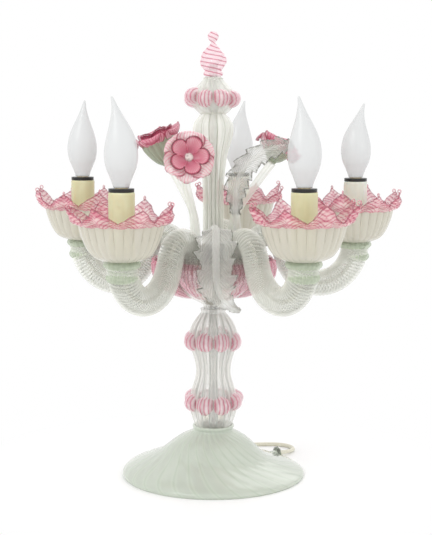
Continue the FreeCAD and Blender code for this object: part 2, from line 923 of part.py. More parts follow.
def build_bulb(number):
    # the screw cap reaches down into the holder; the glass starts on top of it
    body = new_body("bulb_cap_%d" % number)
    length = size("capLength")
    turn(
        body, "capTurned%d" % number,
        (ZERO, ZERO),
        (size("capRadius") * 0.4, ZERO),
        (size("capRadius"), size("capRadius") * 0.5),
        (size("capRadius"), length),
        (ZERO, length),
        "start",
    )
    cap_level = size("holderTop") + size("capLift") - length
    at_arm_end(body, number, cap_level)
    keep("bulb_cap_%d" % number, body)

    wall = size("bulbWall")
    neck = size("bulbNeckRadius")
    widest = (size("bulbRadius"), size("bulbWidest"))
    shoulder = (size("bulbShoulderRadius"), size("bulbShoulder"))
    tip = (size("bulbTipRadius"), size("bulbHeight"))
    hollow_top = size("bulbHeight") - wall * 4.0
    body = new_body("bulb_glass_%d" % number)
    turn(
        body, "bulbTurned%d" % number,
        (neck - wall * 2.5, ZERO),
        (neck, ZERO),
        (widest, shoulder),
        tip,
        (ZERO, size("bulbHeight")),
        (ZERO, hollow_top),
        (shoulder[0] - wall, shoulder[1]),
        ((widest[0] - wall, widest[1]), "start"),
    )
    at_arm_end(body, number, size("holderTop") + size("capLift"))
    keep("bulb_glass_%d" % number, body)


# ---------------------------------------------------------------- column, knob and finial
def build_top():
    wall = size("columnWall")
    bore = size("rodRadius") + size("rodPlay") * 4.0
    foot = size("bossTop")
    nut_room = size("nutAcrossCorners") / 2.0 + size("rodPlay")
    turned_part(
        "column",
        (nut_room, foot),
        (size("columnRadius") + size("rodPlay") * 4.0, foot),
        (size("columnRadius"), foot + size("nutHeight") * 2.0),
        (size("columnRadius"), size("columnFlareLevel")),
        (size("columnMidRadius"), size("columnMidLevel")),
        (size("columnShoulderRadius"), size("columnShoulderLevel")),
        (size("columnTopRadius"), size("columnTop")),
        (bore, size("columnTop")),
        (size("columnShoulderRadius") - wall * 1.4, size("columnShoulderLevel")),
        (size("columnMidRadius") - wall, size("columnMidLevel")),
        (bore, size("columnFlareLevel")),
        (bore, foot + size("nutHeight") + size("rodPlay") * 4.0),
        (nut_room, foot + size("nutHeight") + size("rodPlay") * 4.0),
        "start",
    )
    knob_foot = size("columnTop")
    knob_nut = knob_foot + size("washerThickness") + size("nutHeight") + size("rodPlay") * 2.0
    turned_part(
        "top_knob",
        (nut_room, knob_foot),
        (size("columnTopRadius"), knob_foot),
        ((size("knobRadius"), size("knobLevel")), (size("knobTopRadius"), size("knobTop"))),
        (rod_hole, size("knobTop")),
        (rod_hole, knob_nut),
        (nut_room, knob_nut),
        "start",
    )
    ring_top = size("finialRingTop")
    bud_foot = size("budNeckLevel") - (size("budNeckLevel") - ring_top) * 0.9
    ball = size("finialBallRadius")
    neck = size("budNeckRadius")
    # how far below the ball's centre its surface has narrowed to the neck
    drop = Size(math.sqrt(ball.number ** 2 - neck.number ** 2),
                "sqrt(%s ^ 2 - %s ^ 2)" % (ball.text, neck.text))
    turned_part(
        "finial",
        (rod_hole, size("knobTop")),
        (size("finialRingRadius"), size("knobTop") + size("rodPlay")),
        (size("finialRingRadius"), ring_top),
        (size("knobTopRadius"), bud_foot),
        ((size("budRadius"), size("budLevel")), (neck, size("budNeckLevel"))),
        (neck, size("finialTop") - ball - drop),
        ((ball, size("finialTop") - ball), (ZERO, size("finialTop"))),
        (ZERO, size("rodTop") + size("rodPlay")),
        (rod_hole, size("rodTop") + size("rodPlay")),
        "start",
    )


# ---------------------------------------------------------------- flowers and leaves
# stalk points are real places, from above the socket to the back of the bloom or leaf
flower_stalks = {
    "flower_front": ((-22, -24, 300), (-30, -33, 340), (-27, -38, 366)),
    "flower_left": ((-23, 27, 300), (-42, 38, 345), (-56, 44, 366)),
    "flower_right": ((26, 26, 300), (52, 38, 345), (66, 42, 368)),
}
# direction in which each bloom looks
flower_faces = {
    "flower_front": (0.08, -0.95, 0.30),
    "flower_left": (-0.62, -0.35, 0.70),
    "flower_right": (0.62, -0.45, 0.64),
}
flower_petals = {"flower_front": 6, "flower_left": 5, "flower_right": 5}


def socket_foot(bearing, level):
    reach = size("stemSocketReach").number
    angle = math.radians(bearing)
    return FreeCAD.Vector(reach * math.cos(angle), reach * math.sin(angle), level)


def plug_pin(bearing):
    """The straight pin that drops into its socket, and the collar that stops it."""
    socket_top = (size("receiverLevel") + size("receiverThickness") + size("stemSocketHeight")).number
    depth = size("plugPinDepth").number
    pin_foot = socket_foot(bearing, socket_top - depth)
    pin_solid = Part.makeCylinder(size("plugPin").number, depth + 1.0, pin_foot)
    stop_foot = socket_foot(bearing, socket_top + 0.4)
    stop = Part.makeCylinder(size("flowerTube").number + 1.2, 3.0, stop_foot)
    return pin_solid.fuse(stop), stop_foot + UP * 2.0


def turned_solid(points):
    corners = [FreeCAD.Vector(r, 0, h) for r, h in points]
    return Part.Face(Part.makePolygon(corners + corners[:1])).revolve(FreeCAD.Vector(), UP, 360)


def notches(count, reach, radius, low, high):
    """Upright cylinders that bite the edge of a bloom between its petals."""
    bites = []
    for step in range(count):
        angle = 2 * math.pi * step / count
        foot = FreeCAD.Vector(reach * math.cos(angle), reach * math.sin(angle), low)
        bites.append(Part.makeCylinder(radius, high - low, foot))
    return bites


def bloom(petals):
    """Trumpet of petals round a smaller cup and an eye, drawn about Z from the throat upwards."""
    throat, skin = size("bloomThroat").number, size("petalThickness").number
    reach, rise = size("petalReach").number, size("petalRise").number
    cup_reach, cup_rise = size("innerCupReach").number, size("innerCupRise").number
    notch = size("petalNotch").number
    trumpet = turned_solid((
        (0, -skin), (throat * 0.7, -skin), (throat * 1.5, rise * 0.55), (reach, rise),
        (reach, rise + skin), (throat * 1.4, rise * 0.55 + skin), (skin, 0), (0, 0)))
    trumpet = trumpet.cut(notches(petals, reach + notch / 3, notch, 0, rise * 2))
    cup = turned_solid((
        (0, -skin / 2), (skin, -skin / 2), (throat * 1.7, rise * 0.65), (cup_reach, cup_rise),
        (cup_reach - skin, cup_rise + skin / 2), (throat * 1.4, rise * 0.8), (0, skin)))
    cup = cup.cut(notches(petals, cup_reach + notch / 4, notch * 0.6, rise + skin * 1.5, cup_rise * 2))
    eye = Part.makeSphere(size("eyeRadius").number, UP * (skin * 2))
    return trumpet.fuse([cup, eye])


def build_flower(name):
    pin_solid, foot = plug_pin(flower_bearings[name])
    points = [foot] + [FreeCAD.Vector(*p) for p in flower_stalks[name]]
    stalk = rounded_tube(points, size("flowerTube").number)
    face = FreeCAD.Vector(*flower_faces[name])
    head = bloom(flower_petals[name])
    head.Placement = FreeCAD.Placement(points[-1], FreeCAD.Rotation(UP, face))
    flower = doc.addObject("Part::Feature", name)
    flower.Shape = pin_solid.fuse([stalk, head])
    keep(name, flower)


# centre line of each leaf's blade with its half width there
leaf_lines = {
    "leaf_right": (((31, -12, 300), 5), ((38, -10, 330), 14), ((44, -8, 362), 15),
                   ((58, -6, 388), 11), ((78, -4, 396), 6), ((90, -3, 388), 2.5)),
    "leaf_front": (((0, -42, 285), 6), ((0, -66, 278), 11), ((0, -84, 262), 16),
                   ((1, -88, 240), 20), ((3, -86, 218), 13), ((12, -90, 206), 3)),
}
leaf_stalks = {
    "leaf_right": ((29, -12, 286), (32, -12, 308)),
    "leaf_front": ((0, -33, 281), (0, -48, 284)),
}
# direction across each blade
leaf_broadsides = {
    "leaf_right": FreeCAD.Vector(0.5, -0.87, 0),
    "leaf_front": FreeCAD.Vector(1, 0, 0),
}


def lens_wire(centre, across, normal, half_width, half_thick):
    """Section of a blade: sharp at both edges, thickest on the midrib."""
    corners = [centre - across * half_width, centre - normal * half_thick,
               centre + across * half_width, centre + normal * half_thick]
    return Part.makePolygon(corners + corners[:1])


def build_leaf(name):
    pin_solid, foot = plug_pin(leaf_bearings[name])
    points = [foot] + [FreeCAD.Vector(*p) for p in leaf_stalks[name]]
    stalk = rounded_tube(points, size("flowerTube").number * 0.8)
    line = [(FreeCAD.Vector(*p), half) for p, half in leaf_lines[name]]
    half_thick = size("leafThickness").number / 2
    sections = []
    for index, (centre, half) in enumerate(line):
        ahead = line[min(index + 1, len(line) - 1)][0]
        behind = line[max(index - 1, 0)][0]
        along = (ahead - behind).normalize()
        broad = leaf_broadsides[name]
        across = (broad - along * broad.dot(along)).normalize()
        sections.append(lens_wire(centre, across, along.cross(across), half, half_thick))
    blade = Part.makeLoft(sections, True, True)
    if blade.Volume < 0:
        blade.reverse()
    leaf = doc.addObject("Part::Feature", name)
    leaf.Shape = pin_solid.fuse([stalk, blade])
    keep(name, leaf)


# ---------------------------------------------------------------- mains lead
# free stretch of the lead, from the strain relief's tip to the outer turn of the coil
cord_route = (
    (84.0, 75.6, 4.3),
    (98.9, 89.0, 2.5),
    (98.2, 109.0, 2.3),
    (80.9, 122.5, 2.3),
    (43.0, 119.2, 2.3),
    (7.7, 111.1, 2.3),
)
# from the upper layer of the coil, over its lower layer, to the plug's tail
tail_route = (
    (-28.2, 163.8, 6.9),
    (-18.2, 181.1, 6.9),
    (-10.5, 199.5, 7.2),
)


def build_cord():
    radius = size("cordDiameter").number / 2
    for label, route in (("cord", cord_route), ("cord_tail", tail_route)):
        points = [FreeCAD.Vector(*p) for p in route]
        wire, radii = rounded_wire(points)
        tube = rounded_tube(points, radius)
        section = math.pi * radius ** 2
        print(label, "radii", [round(r, 1) for r in radii], "length", round(wire.Length, 1),
              "volume ratio", round(tube.Volume / section / wire.Length, 4))
        lead = doc.addObject("Part::Feature", label)
        lead.Shape = tube
        keep(label, lead)

    relief = new_body("strain_relief")
    start, end = size("reliefStart"), size("reliefEnd")
    bore = size("cordDiameter") / 2.0
    turn(
        relief, "reliefTurned",
        (ZERO, ZERO),
        (size("reliefRadius"), ZERO),
        (size("reliefRadius"), (end - start) * 0.3),
        (size("reliefTipRadius"), end - start),
        (ZERO, end - start),
        "start",
    )
    x, y = bearing_point(start, size("exitBearing"))
    outward = FreeCAD.Vector(x.number, y.number, 0).normalize()
    relief.Placement = FreeCAD.Placement(FreeCAD.Vector(), FreeCAD.Rotation(UP, outward))
    place(relief, x, y, size("reliefLevel"))
    keep("strain_relief", relief)

    # two flat layers of turns: the upper one has one turn fewer
    coil = new_body("cord_coil")
    row = size("cordDiameter")
    inner, lower, upper = size("coilInner"), size("coilLowerOuter"), size("coilUpperOuter")
    corner = size("coilCorner")
    turn(
        coil, "coilTurned",
        (inner + corner, ZERO),
        (lower - corner, ZERO),
        (lower, corner),
        (lower, row),
        (upper, row),
        (upper, row * 2.0 - corner),
        (upper - corner, row * 2.0),
        (inner + corner, row * 2.0),
        (inner, row * 2.0 - corner),
        (inner, corner),
        "start",
    )
    place(coil, size("coilX"), size("coilY"))
    keep("cord_coil", coil)


def build_plug():
    """Flat two-pin plug lying behind the coil, pins pointing away from it."""
    x, y, z = size("plugX"), size("plugY"), size("plugLevel")
    wide, thick, long = size("plugBodyWidth"), size("plugBodyThickness"), size("plugBodyLength")
    tail = long * 0.3
    body = new_body("plug")
    for name, level, width, height in (
        ("plugTail", ZERO, size("plugTailRadius") * 2.0, size("plugTailRadius") * 2.0),
        ("plugShoulder", tail, wide * 0.8, thick),
        ("plugFace", long, wide, thick),
    ):
        outline = new_sketch(body, name, "XZ_Plane", -level)
        half, rise = width / 2.0, height / 2.0
        draw(outline, (-half, -rise), ((half, -rise), (half, rise), (-half, rise), "start"))
    sketches = {s.Name: s for s in body.Group if s.TypeId == "Sketcher::SketchObject"}
    loft = body.newObject("PartDesign::AdditiveLoft", "plugBlock")
    loft.Profile = sketches["plugTail"]
    loft.Sections = [sketches["plugShoulder"], sketches["plugFace"]]
    loft.Ruled = True
    doc.recompute()
    pins = new_sketch(body, "plugPins", "XZ_Plane", -long)
    for side in (-1.0, 1.0):
        add_circle(pins, (size("plugPinSpacing") / 2.0 * side, ZERO), size("plugPinRadius"))
    prongs = body.newObject("PartDesign::Pad", "prongs")
    prongs.Profile = pins
    prongs.setExpression("Length", size("plugPinLength").text)
    prongs.Reversed = True
    place(body, x, y, z, size("plugTurn"))
    keep("plug", body)


# ---------------------------------------------------------------- build and write
build_foot()
build_stack_hardware()
build_stem()
build_frill("lower_frill", size("lowerFrillLevel"), size("lowerFrillHalf"), size("lowerFrillRadius"),
            size("stemBellyRadius") + size("frillPlay"))
build_frill("upper_frill", size("upperFrillLevel"), size("upperFrillHalf"), size("upperFrillRadius"),
            size("stemShoulderRadius") + size("frillPlay"))
build_frill("top_frill", size("topFrillLevel"), size("topFrillHalf"), size("topFrillRadius"),
            size("knobRadius") + size("frillPlay"))
build_bowl()
build_bowl_frill()
build_receiver()
build_arms()
build_wiring()
build_candle_parts()
build_top()
for flower_name in flower_bearings:
    build_flower(flower_name)
for leaf_name in leaf_bearings:
    build_leaf(leaf_name)
build_cord()
build_plug()
doc.recompute()

faults = [o.Label for o in doc.Objects if "Invalid" in o.State or "Error" in o.State]
for label, thing in subparts.items():
    if thing.Shape.isNull() or not thing.Shape.isValid() or not thing.Shape.Solids:
        faults.append(label + " shape")
if faults:
    raise RuntimeError("these did not build: %s" % ", ".join(faults))
for label, thing in subparts.items():
    thing.Shape.exportStep(os.path.join(PARTS_FOLDER, label + ".step"))
    box = thing.Shape.BoundBox
    print("%-18s solids %d  volume %9.1f  x %.1f..%.1f y %.1f..%.1f z %.1f..%.1f" % (
        label, len(thing.Shape.Solids), thing.Shape.Volume, box.XMin, box.XMax,
        box.YMin, box.YMax, box.ZMin, box.ZMax))
print(len(subparts), "sub-parts written")
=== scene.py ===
import json
import math
import random

import bpy
from mathutils import Matrix, Vector


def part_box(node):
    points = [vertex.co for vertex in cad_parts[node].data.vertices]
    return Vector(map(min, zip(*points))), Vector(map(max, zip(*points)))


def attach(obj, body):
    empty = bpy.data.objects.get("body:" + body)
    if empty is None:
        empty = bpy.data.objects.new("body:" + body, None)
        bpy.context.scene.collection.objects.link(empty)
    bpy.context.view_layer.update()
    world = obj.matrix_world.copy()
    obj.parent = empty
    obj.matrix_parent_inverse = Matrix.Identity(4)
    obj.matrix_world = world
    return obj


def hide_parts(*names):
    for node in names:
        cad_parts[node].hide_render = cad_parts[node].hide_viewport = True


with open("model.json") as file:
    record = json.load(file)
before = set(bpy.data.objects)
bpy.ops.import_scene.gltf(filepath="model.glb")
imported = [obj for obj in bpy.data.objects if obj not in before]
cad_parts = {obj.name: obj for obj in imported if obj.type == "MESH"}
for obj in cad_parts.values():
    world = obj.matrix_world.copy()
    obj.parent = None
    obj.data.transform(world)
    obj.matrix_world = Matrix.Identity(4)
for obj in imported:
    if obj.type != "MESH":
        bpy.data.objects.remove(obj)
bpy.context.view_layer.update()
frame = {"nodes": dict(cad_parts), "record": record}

mm = 0.001
turn = 2 * math.pi
up = Vector((0, 0, 1))
print("frame loaded:", len(frame["nodes"]), "nodes")


# helpers for modelling; profiles and points are in millimetres
def deselectAll():
    if bpy.context.object and bpy.context.object.mode != "OBJECT":
        bpy.ops.object.mode_set(mode="OBJECT")
    bpy.ops.object.select_all(action="DESELECT")


def activate(piece):
    deselectAll()
    piece.select_set(True)
    bpy.context.view_layer.objects.active = piece


def smoothPoints(points, steps):
    # soft curve through given points
    line = []
    padded = [points[0], *points, points[-1]]
    for a, b, c, d in zip(padded, padded[1:], padded[2:], padded[3:]):
        for step in range(steps):
            t = step / steps
            line.append(tuple(
                0.5 * (2 * q + (r - p) * t + (2 * p - 5 * q + 4 * r - s) * t ** 2
                       + (3 * q - p - 3 * r + s) * t ** 3)
                for p, q, r, s in zip(a, b, c, d)))
    line.append(tuple(points[-1]))
    return line


def turnedShape(name, profile, segments):
    # a circle at the profile's first point, extruded and resized from point to point
    deselectAll()
    smallest = 0.01
    radius, height = profile[0]
    bpy.ops.mesh.primitive_circle_add(vertices=segments, radius=max(radius, smallest) * mm,
                                      location=(0, 0, height * mm))
    piece = bpy.context.object
    piece.name = name
    bpy.ops.object.transform_apply(location=True, rotation=False, scale=False)
    bpy.ops.object.mode_set(mode="EDIT")
    bpy.ops.mesh.select_all(action="SELECT")
    for (r0, z0), (r1, z1) in zip(profile, profile[1:]):
        bpy.ops.mesh.extrude_region_move(TRANSFORM_OT_translate={"value": (0, 0, (z1 - z0) * mm)})
        growth = max(r1, smallest) / max(r0, smallest)
        bpy.ops.transform.resize(value=(growth, growth, 1), center_override=(0, 0, z1 * mm))
    closeSeams(piece)
    return piece


def closeSeams(piece):
    activate(piece)
    bpy.ops.object.mode_set(mode="EDIT")
    bpy.ops.mesh.select_all(action="SELECT")
    bpy.ops.mesh.remove_doubles(threshold=0.03 * mm)
    bpy.ops.mesh.normals_make_consistent(inside=False)
    bpy.ops.object.mode_set(mode="OBJECT")


def wrappedGrid(name, across, along, place, closed=False):
    # a flat grid with its UV map, laid over the form that place(u, v) gives
    deselectAll()
    bpy.ops.mesh.primitive_grid_add(x_subdivisions=across, y_subdivisions=along, size=1, calc_uvs=True)
    piece = bpy.context.object
    piece.name = name
    for vertex in piece.data.vertices:
        vertex.co = Vector(place(vertex.co.x + 0.5, vertex.co.y + 0.5)) * mm
    if closed:
        closeSeams(piece)
    return piece


def reshape(piece, move):
    for vertex in piece.data.vertices:
        vertex.co = move(vertex.co)
    piece.data.update()


def flute(piece, count, depth, twist=0.0, fade=None):
    # ribs with sharp valleys; fade(height in mm) weakens them
    def move(point):
        radius = math.hypot(point.x, point.y)
        if radius < 0.1 * mm:
            return point
        angle = math.atan2(point.y, point.x)
        rib = abs(math.sin(0.5 * (count * angle + twist * point.z / mm))) - 0.6
        strength = 1.0 if fade is None else fade(point.z / mm)
        grown = (radius + depth * mm * rib * strength) / radius
        return Vector((point.x * grown, point.y * grown, point.z))
    reshape(piece, move)


def addWall(piece, thickness, outside=0.0):
    activate(piece)
    modifier = piece.modifiers.new("wall", "SOLIDIFY")
    modifier.thickness = thickness * mm
    modifier.offset = 2 * outside - 1
    modifier.use_even_offset = False
    bpy.ops.object.modifier_apply(modifier=modifier.name)


def smooth(piece, degrees=60):
    activate(piece)
    bpy.ops.object.shade_smooth_by_angle(angle=math.radians(degrees))


def joinPieces(pieces, name):
    deselectAll()
    for piece in pieces:
        piece.select_set(True)
    bpy.context.view_layer.objects.active = pieces[0]
    bpy.ops.object.join()
    pieces[0].name = name
    return pieces[0]


def copyTo(piece, name, matrix):
    twin = piece.copy()
    twin.data = piece.data.copy()
    twin.name = name
    bpy.context.scene.collection.objects.link(twin)
    twin.data.transform(matrix)
    return twin


def tubeAlong(name, points, radii, steps=8, sides=24):
    # a rod swept along a soft line, with its own radius at each point
    line = smoothPoints([(*point, radius) for point, radius in zip(points, radii)], steps)
    centres = [Vector(p[:3]) for p in line]
    side = Vector((1, 0, 0))
    frames = []
    for index, centre in enumerate(centres):
        ahead = centres[min(index + 1, len(centres) - 1)] - centres[max(index - 1, 0)]
        ahead.normalize()
        side = (side - ahead * side.dot(ahead)).normalized()
        frames.append((centre, side.copy(), ahead.cross(side), line[index][3]))
    last = len(frames) - 1

    def place(u, v):
        centre, along, across, radius = frames[round(v * last)]
        angle = turn * u
        return centre + (along * math.cos(angle) + across * math.sin(angle)) * radius

    return wrappedGrid(name, sides, last, place, closed=True)


def finishPiece(piece, material, body, slot, *nodes):
    piece.data.materials.clear()
    piece.data.materials.append(material)
    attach(piece, body)
    if nodes:
        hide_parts(*nodes)
    return piece


# materials: colours are written as they show on screen, 0 to 255
def paint(red, green, blue):
    shown = (red, green, blue)
    return (*(((c / 255 + 0.055) / 1.055) ** 2.4 if c > 10 else c / 3295 for c in shown), 1)


def newMaterial(name, colour, roughness, **more):
    material = bpy.data.materials.new(name)
    material.use_nodes = True
    shader = material.node_tree.nodes["Principled BSDF"]
    shader.inputs["Base Color"].default_value = paint(*colour)
    shader.inputs["Roughness"].default_value = roughness
    for socket, value in more.items():
        shader.inputs[socket.replace("_", " ")].default_value = value
    return material


def maths(material, operation, *values):
    node = material.node_tree.nodes.new("ShaderNodeMath")
    node.operation = operation
    for socket, value in zip(node.inputs, values):
        if isinstance(value, (int, float)):
            socket.default_value = value
        else:
            material.node_tree.links.new(value, socket)
    return node.outputs[0]


def coordinates(material, kind):
    # x, y and z of the object's own place, or u and v of its map
    nodes, links = material.node_tree.nodes, material.node_tree.links
    source = nodes.new("ShaderNodeTexCoord")
    split = nodes.new("ShaderNodeSeparateXYZ")
    links.new(source.outputs[kind], split.inputs[0])
    return source.outputs[kind], split.outputs


def noise(material, vector, scale, detail=3.0, stretch=(1, 1, 1)):
    nodes, links = material.node_tree.nodes, material.node_tree.links
    mapping = nodes.new("ShaderNodeMapping")
    mapping.inputs["Scale"].default_value = stretch
    links.new(vector, mapping.inputs["Vector"])
    node = nodes.new("ShaderNodeTexNoise")
    node.inputs["Scale"].default_value = scale
    node.inputs["Detail"].default_value = detail
    links.new(mapping.outputs[0], node.inputs["Vector"])
    return node.outputs["Fac"]


def ramp(material, factor, *stops):
    node = material.node_tree.nodes.new("ShaderNodeValToRGB")
    elements = node.color_ramp.elements
    while len(elements) < len(stops):
        elements.new(1.0)
    for element, (position, colour) in zip(elements, stops):
        element.position = position
        element.color = paint(*colour)
    material.node_tree.links.new(factor, node.inputs[0])
    return node.outputs[0]


def mixColours(material, factor, first, second):
    node = material.node_tree.nodes.new("ShaderNodeMix")
    node.data_type = "RGBA"
    links = material.node_tree.links
    sockets = [node.inputs[0], *(s for s in node.inputs if s.type == "RGBA")]
    for socket, value in zip(sockets, (factor, first, second)):
        if isinstance(value, (int, float, tuple)):
            socket.default_value = value
        else:
            links.new(value, socket)
    return next(s for s in node.outputs if s.type == "RGBA")


def colourFrom(material, socket):
    shader = material.node_tree.nodes["Principled BSDF"]
    material.node_tree.links.new(socket, shader.inputs["Base Color"])


def roughnessFrom(material, factor, low, high):
    shader = material.node_tree.nodes["Principled BSDF"]
    spread = maths(material, "MULTIPLY_ADD", factor, high - low, low)
    material.node_tree.links.new(spread, shader.inputs["Roughness"])


def bumpFrom(material, height, strength, distance):
    nodes, links = material.node_tree.nodes, material.node_tree.links
    bump = nodes.new("ShaderNodeBump")
    bump.inputs["Strength"].default_value = strength
    bump.inputs["Distance"].default_value = distance * mm
    links.new(height, bump.inputs["Height"])
    links.new(bump.outputs[0], nodes["Principled BSDF"].inputs["Normal"])


def valleys(material, phase):
    # 0 in the valley between two ribs, 1 on the crest
    return maths(material, "ABSOLUTE", maths(material, "SINE", maths(material, "MULTIPLY", phase, math.pi)))


def seeThrough(material, front, edge, line=None, dense=0.0, sharp=0.4):
    # thin glass: clear where it faces the viewer, denser at its edges and in its dark lines
    nodes, links = material.node_tree.nodes, material.node_tree.links
    layer = nodes.new("ShaderNodeLayerWeight")
    layer.inputs["Blend"].default_value = 0.5
    grazing = maths(material, "POWER", layer.outputs["Facing"], 1.7)
    alpha = maths(material, "MULTIPLY_ADD", grazing, edge - front, front)
    if line is not None:
        inLine = maths(material, "MULTIPLY_ADD", line, -dense / sharp, dense)
        alpha = maths(material, "ADD", alpha, maths(material, "MAXIMUM", inLine, 0.0))
    alpha = maths(material, "MINIMUM", alpha, 1.0)
    # the far side of a wall adds little to the near one
    behind = nodes.new("ShaderNodeNewGeometry").outputs["Backfacing"]
    alpha = maths(material, "MULTIPLY", alpha, maths(material, "MULTIPLY_ADD", behind, -0.75, 1.0))
    links.new(alpha, nodes["Principled BSDF"].inputs["Alpha"])


def glossyGlass(name, colour, coat=0.5):
    return newMaterial(name, colour, 0.12, IOR=1.45, Coat_Weight=coat, Coat_Roughness=0.03)


def ribbedGlass(name, kind, phase, crest, valley, front, edge, dense=0.3, sharp=0.4, cloudScale=28):
    # pale crests and dark lines between them, the lines being painted shade in the rib valleys;
    # phase(material, axes) counts the ribs
    material = glossyGlass(name, crest)
    place, _ = coordinates(material, "Object")
    _, axes = coordinates(material, kind)
    rib = valleys(material, phase(material, axes))
    cloud = noise(material, place, cloudScale, 3)
    middle = tuple(0.35 * v + 0.65 * c for v, c in zip(valley, crest))
    soft = tuple(c * 0.955 for c in crest)
    # the valley colour is painted shade: the dark refraction lines of ribbed glass
    valleyShaded = ramp(material, rib, (0.0, valley), (sharp * 0.5, middle), (sharp, crest))
    valleyShadedDimmed = ramp(material, rib, (0.0, valley), (sharp * 0.5, middle), (sharp, soft))
    spots = ramp(material, cloud, (0.4, (0, 0, 0)), (0.6, (255, 255, 255)))
    colourFrom(material, mixColours(material, spots, valleyShadedDimmed, valleyShaded))
    roughnessFrom(material, cloud, 0.07, 0.2)
    bumpFrom(material, cloud, 0.12, 0.5)
    seeThrough(material, front, edge, rib, dense, sharp)
    return material


def roundAxis(count, twist=0.0):
    # ribs round the lamp's own axis
    def phase(material, axes):
        angle = maths(material, "ARCTAN2", axes[1], axes[0])
        around = maths(material, "MULTIPLY", angle, count / turn)
        return maths(material, "MULTIPLY_ADD", axes[2], twist, around)
    return phase


def onMap(alongU, alongV):
    # lines counted over the piece's map
    def phase(material, axes):
        across = maths(material, "MULTIPLY", axes[0], alongU)
        return maths(material, "MULTIPLY_ADD", axes[1], alongV, across)
    return phase


# light, camera and floor
stageInfo = {
    "floorSize": 8.0,
    "floorColour": (252, 252, 252),
    "whiteStart": 0.11,
    "whiteEnd": 0.3,
    "skyForLight": 1.0,
    "cameraPlace": (0.0031, -1.4539, 0.4209),
    "cameraPitch": 7.06,
    "cameraLens": 86.47,
    "lamps": (
        # name, place, aim, size, power
        ("keyLamp", (-1.1, -1.2, 1.5), (0, 0, 0.25), 0.9, 8.5),
        ("fillLamp", (1.3, -0.9, 0.9), (0, 0, 0.25), 1.0, 1.8),
        ("backLamp", (0.3, 1.5, 1.3), (0, 0, 0.3), 1.2, 3.5),
    ),
}


def whiteForSight(tree):
    # 1 for what is looked at, directly, in a mirror or through glass
    nodes, links = tree.nodes, tree.links
    path = nodes.new("ShaderNodeLightPath")
    total = path.outputs["Is Camera Ray"]
    for kind in ("Is Glossy Ray", "Is Transmission Ray"):
        add = nodes.new("ShaderNodeMath")
        add.operation = "MAXIMUM"
        links.new(total, add.inputs[0])
        links.new(path.outputs[kind], add.inputs[1])
        total = add.outputs[0]
    return total


def buildStage():
    world = bpy.data.worlds.new("paleSky")
    bpy.context.scene.world = world
    world.use_nodes = True
    tree = world.node_tree
    background = tree.nodes["Background"]
    background.inputs["Color"].default_value = (1, 1, 1, 1)
    sight = whiteForSight(tree)
    strength = tree.nodes.new("ShaderNodeMath")
    strength.operation = "MULTIPLY_ADD"
    tree.links.new(sight, strength.inputs[0])
    strength.inputs[1].default_value = 1 - stageInfo["skyForLight"]
    strength.inputs[2].default_value = stageInfo["skyForLight"]
    tree.links.new(strength.outputs[0], background.inputs["Strength"])

    deselectAll()
    bpy.ops.mesh.primitive_plane_add(size=stageInfo["floorSize"], location=(0, 0, 0))
    floor = bpy.context.object
    floor.name = "floor"
    paper = newMaterial("whitePaper", stageInfo["floorColour"], 0.6)
    floor.data.materials.append(paper)
    tree = paper.node_tree
    source, _ = coordinates(paper, "Object")
    distance = tree.nodes.new("ShaderNodeVectorMath")
    distance.operation = "LENGTH"
    tree.links.new(source, distance.inputs[0])
    fade = tree.nodes.new("ShaderNodeMapRange")
    fade.interpolation_type = "SMOOTHSTEP"
    tree.links.new(distance.outputs["Value"], fade.inputs["Value"])
    fade.inputs["From Min"].default_value = stageInfo["whiteStart"]
    fade.inputs["From Max"].default_value = stageInfo["whiteEnd"]
    factor = maths(paper, "MULTIPLY", fade.outputs[0], whiteForSight(tree))
    glow = tree.nodes.new("ShaderNodeEmission")
    mix = tree.nodes.new("ShaderNodeMixShader")
    tree.links.new(factor, mix.inputs[0])
    tree.links.new(tree.nodes["Principled BSDF"].outputs[0], mix.inputs[1])
    tree.links.new(glow.outputs[0], mix.inputs[2])
    tree.links.new(mix.outputs[0], tree.nodes["Material Output"].inputs["Surface"])

    for name, place, aim, size, power in stageInfo["lamps"]:
        lamp = bpy.data.lights.new(name, "AREA")
        lamp.size = size
        lamp.energy = power
        holder = bpy.data.objects.new(name, lamp)
        bpy.context.scene.collection.objects.link(holder)
        holder.location = place
        holder.rotation_euler = (Vector(aim) - Vector(place)).to_track_quat("-Z", "Y").to_euler()

    camera = bpy.data.objects.new("camera", bpy.data.cameras.new("camera"))
    bpy.context.scene.collection.objects.link(camera)
    camera.location = stageInfo["cameraPlace"]
    camera.rotation_euler = (math.radians(90 - stageInfo["cameraPitch"]), 0, 0)
    camera.data.lens = stageInfo["cameraLens"]
    camera.data.sensor_width = 36
    bpy.context.scene.camera = camera
    bpy.context.scene.view_settings.view_transform = "Standard"
    print("stage ready")


buildStage()

# the mains lead: the same route as its solids, wound into a flat coil behind the foot
leadInfo = {
    "diameter": 4.6,
    "length": 1.6,
    "route": ((84.0, 75.6, 4.3), (98.9, 89.0, 2.5), (98.2, 109.0, 2.3), (80.9, 122.5, 2.3),
              (43.0, 119.2, 2.3), (7.7, 111.1, 2.3)),
    "coilCentre": (0.0, 147.5),
    # one turn in each lane, in from the outside and out again on top
    "coilRadii": (37.2, 32.6, 28.0, 23.4, 18.8),
    "coilHeights": (2.3, 6.9),
    "coilStart": 282.0,
    "coilSweep": 3012.0,
    "pointsPerTurn": 14,
    "tail": ((-28.2, 163.8, 6.9), (-18.2, 181.1, 6.9), (-10.5, 199.5, 7.2)),
}


def leadMaterial():
    material = newMaterial("paleLead", (226, 224, 205), 0.42, Coat_Weight=0.2)
    place, _ = coordinates(material, "Object")
    grain = noise(material, place, 900, 4)
    colourFrom(material, ramp(material, grain, (0.3, (214, 210, 188)), (0.7, (235, 233, 218))))
    bumpFrom(material, grain, 0.2, 0.15)
    roughnessFrom(material, grain, 0.34, 0.5)
    return material


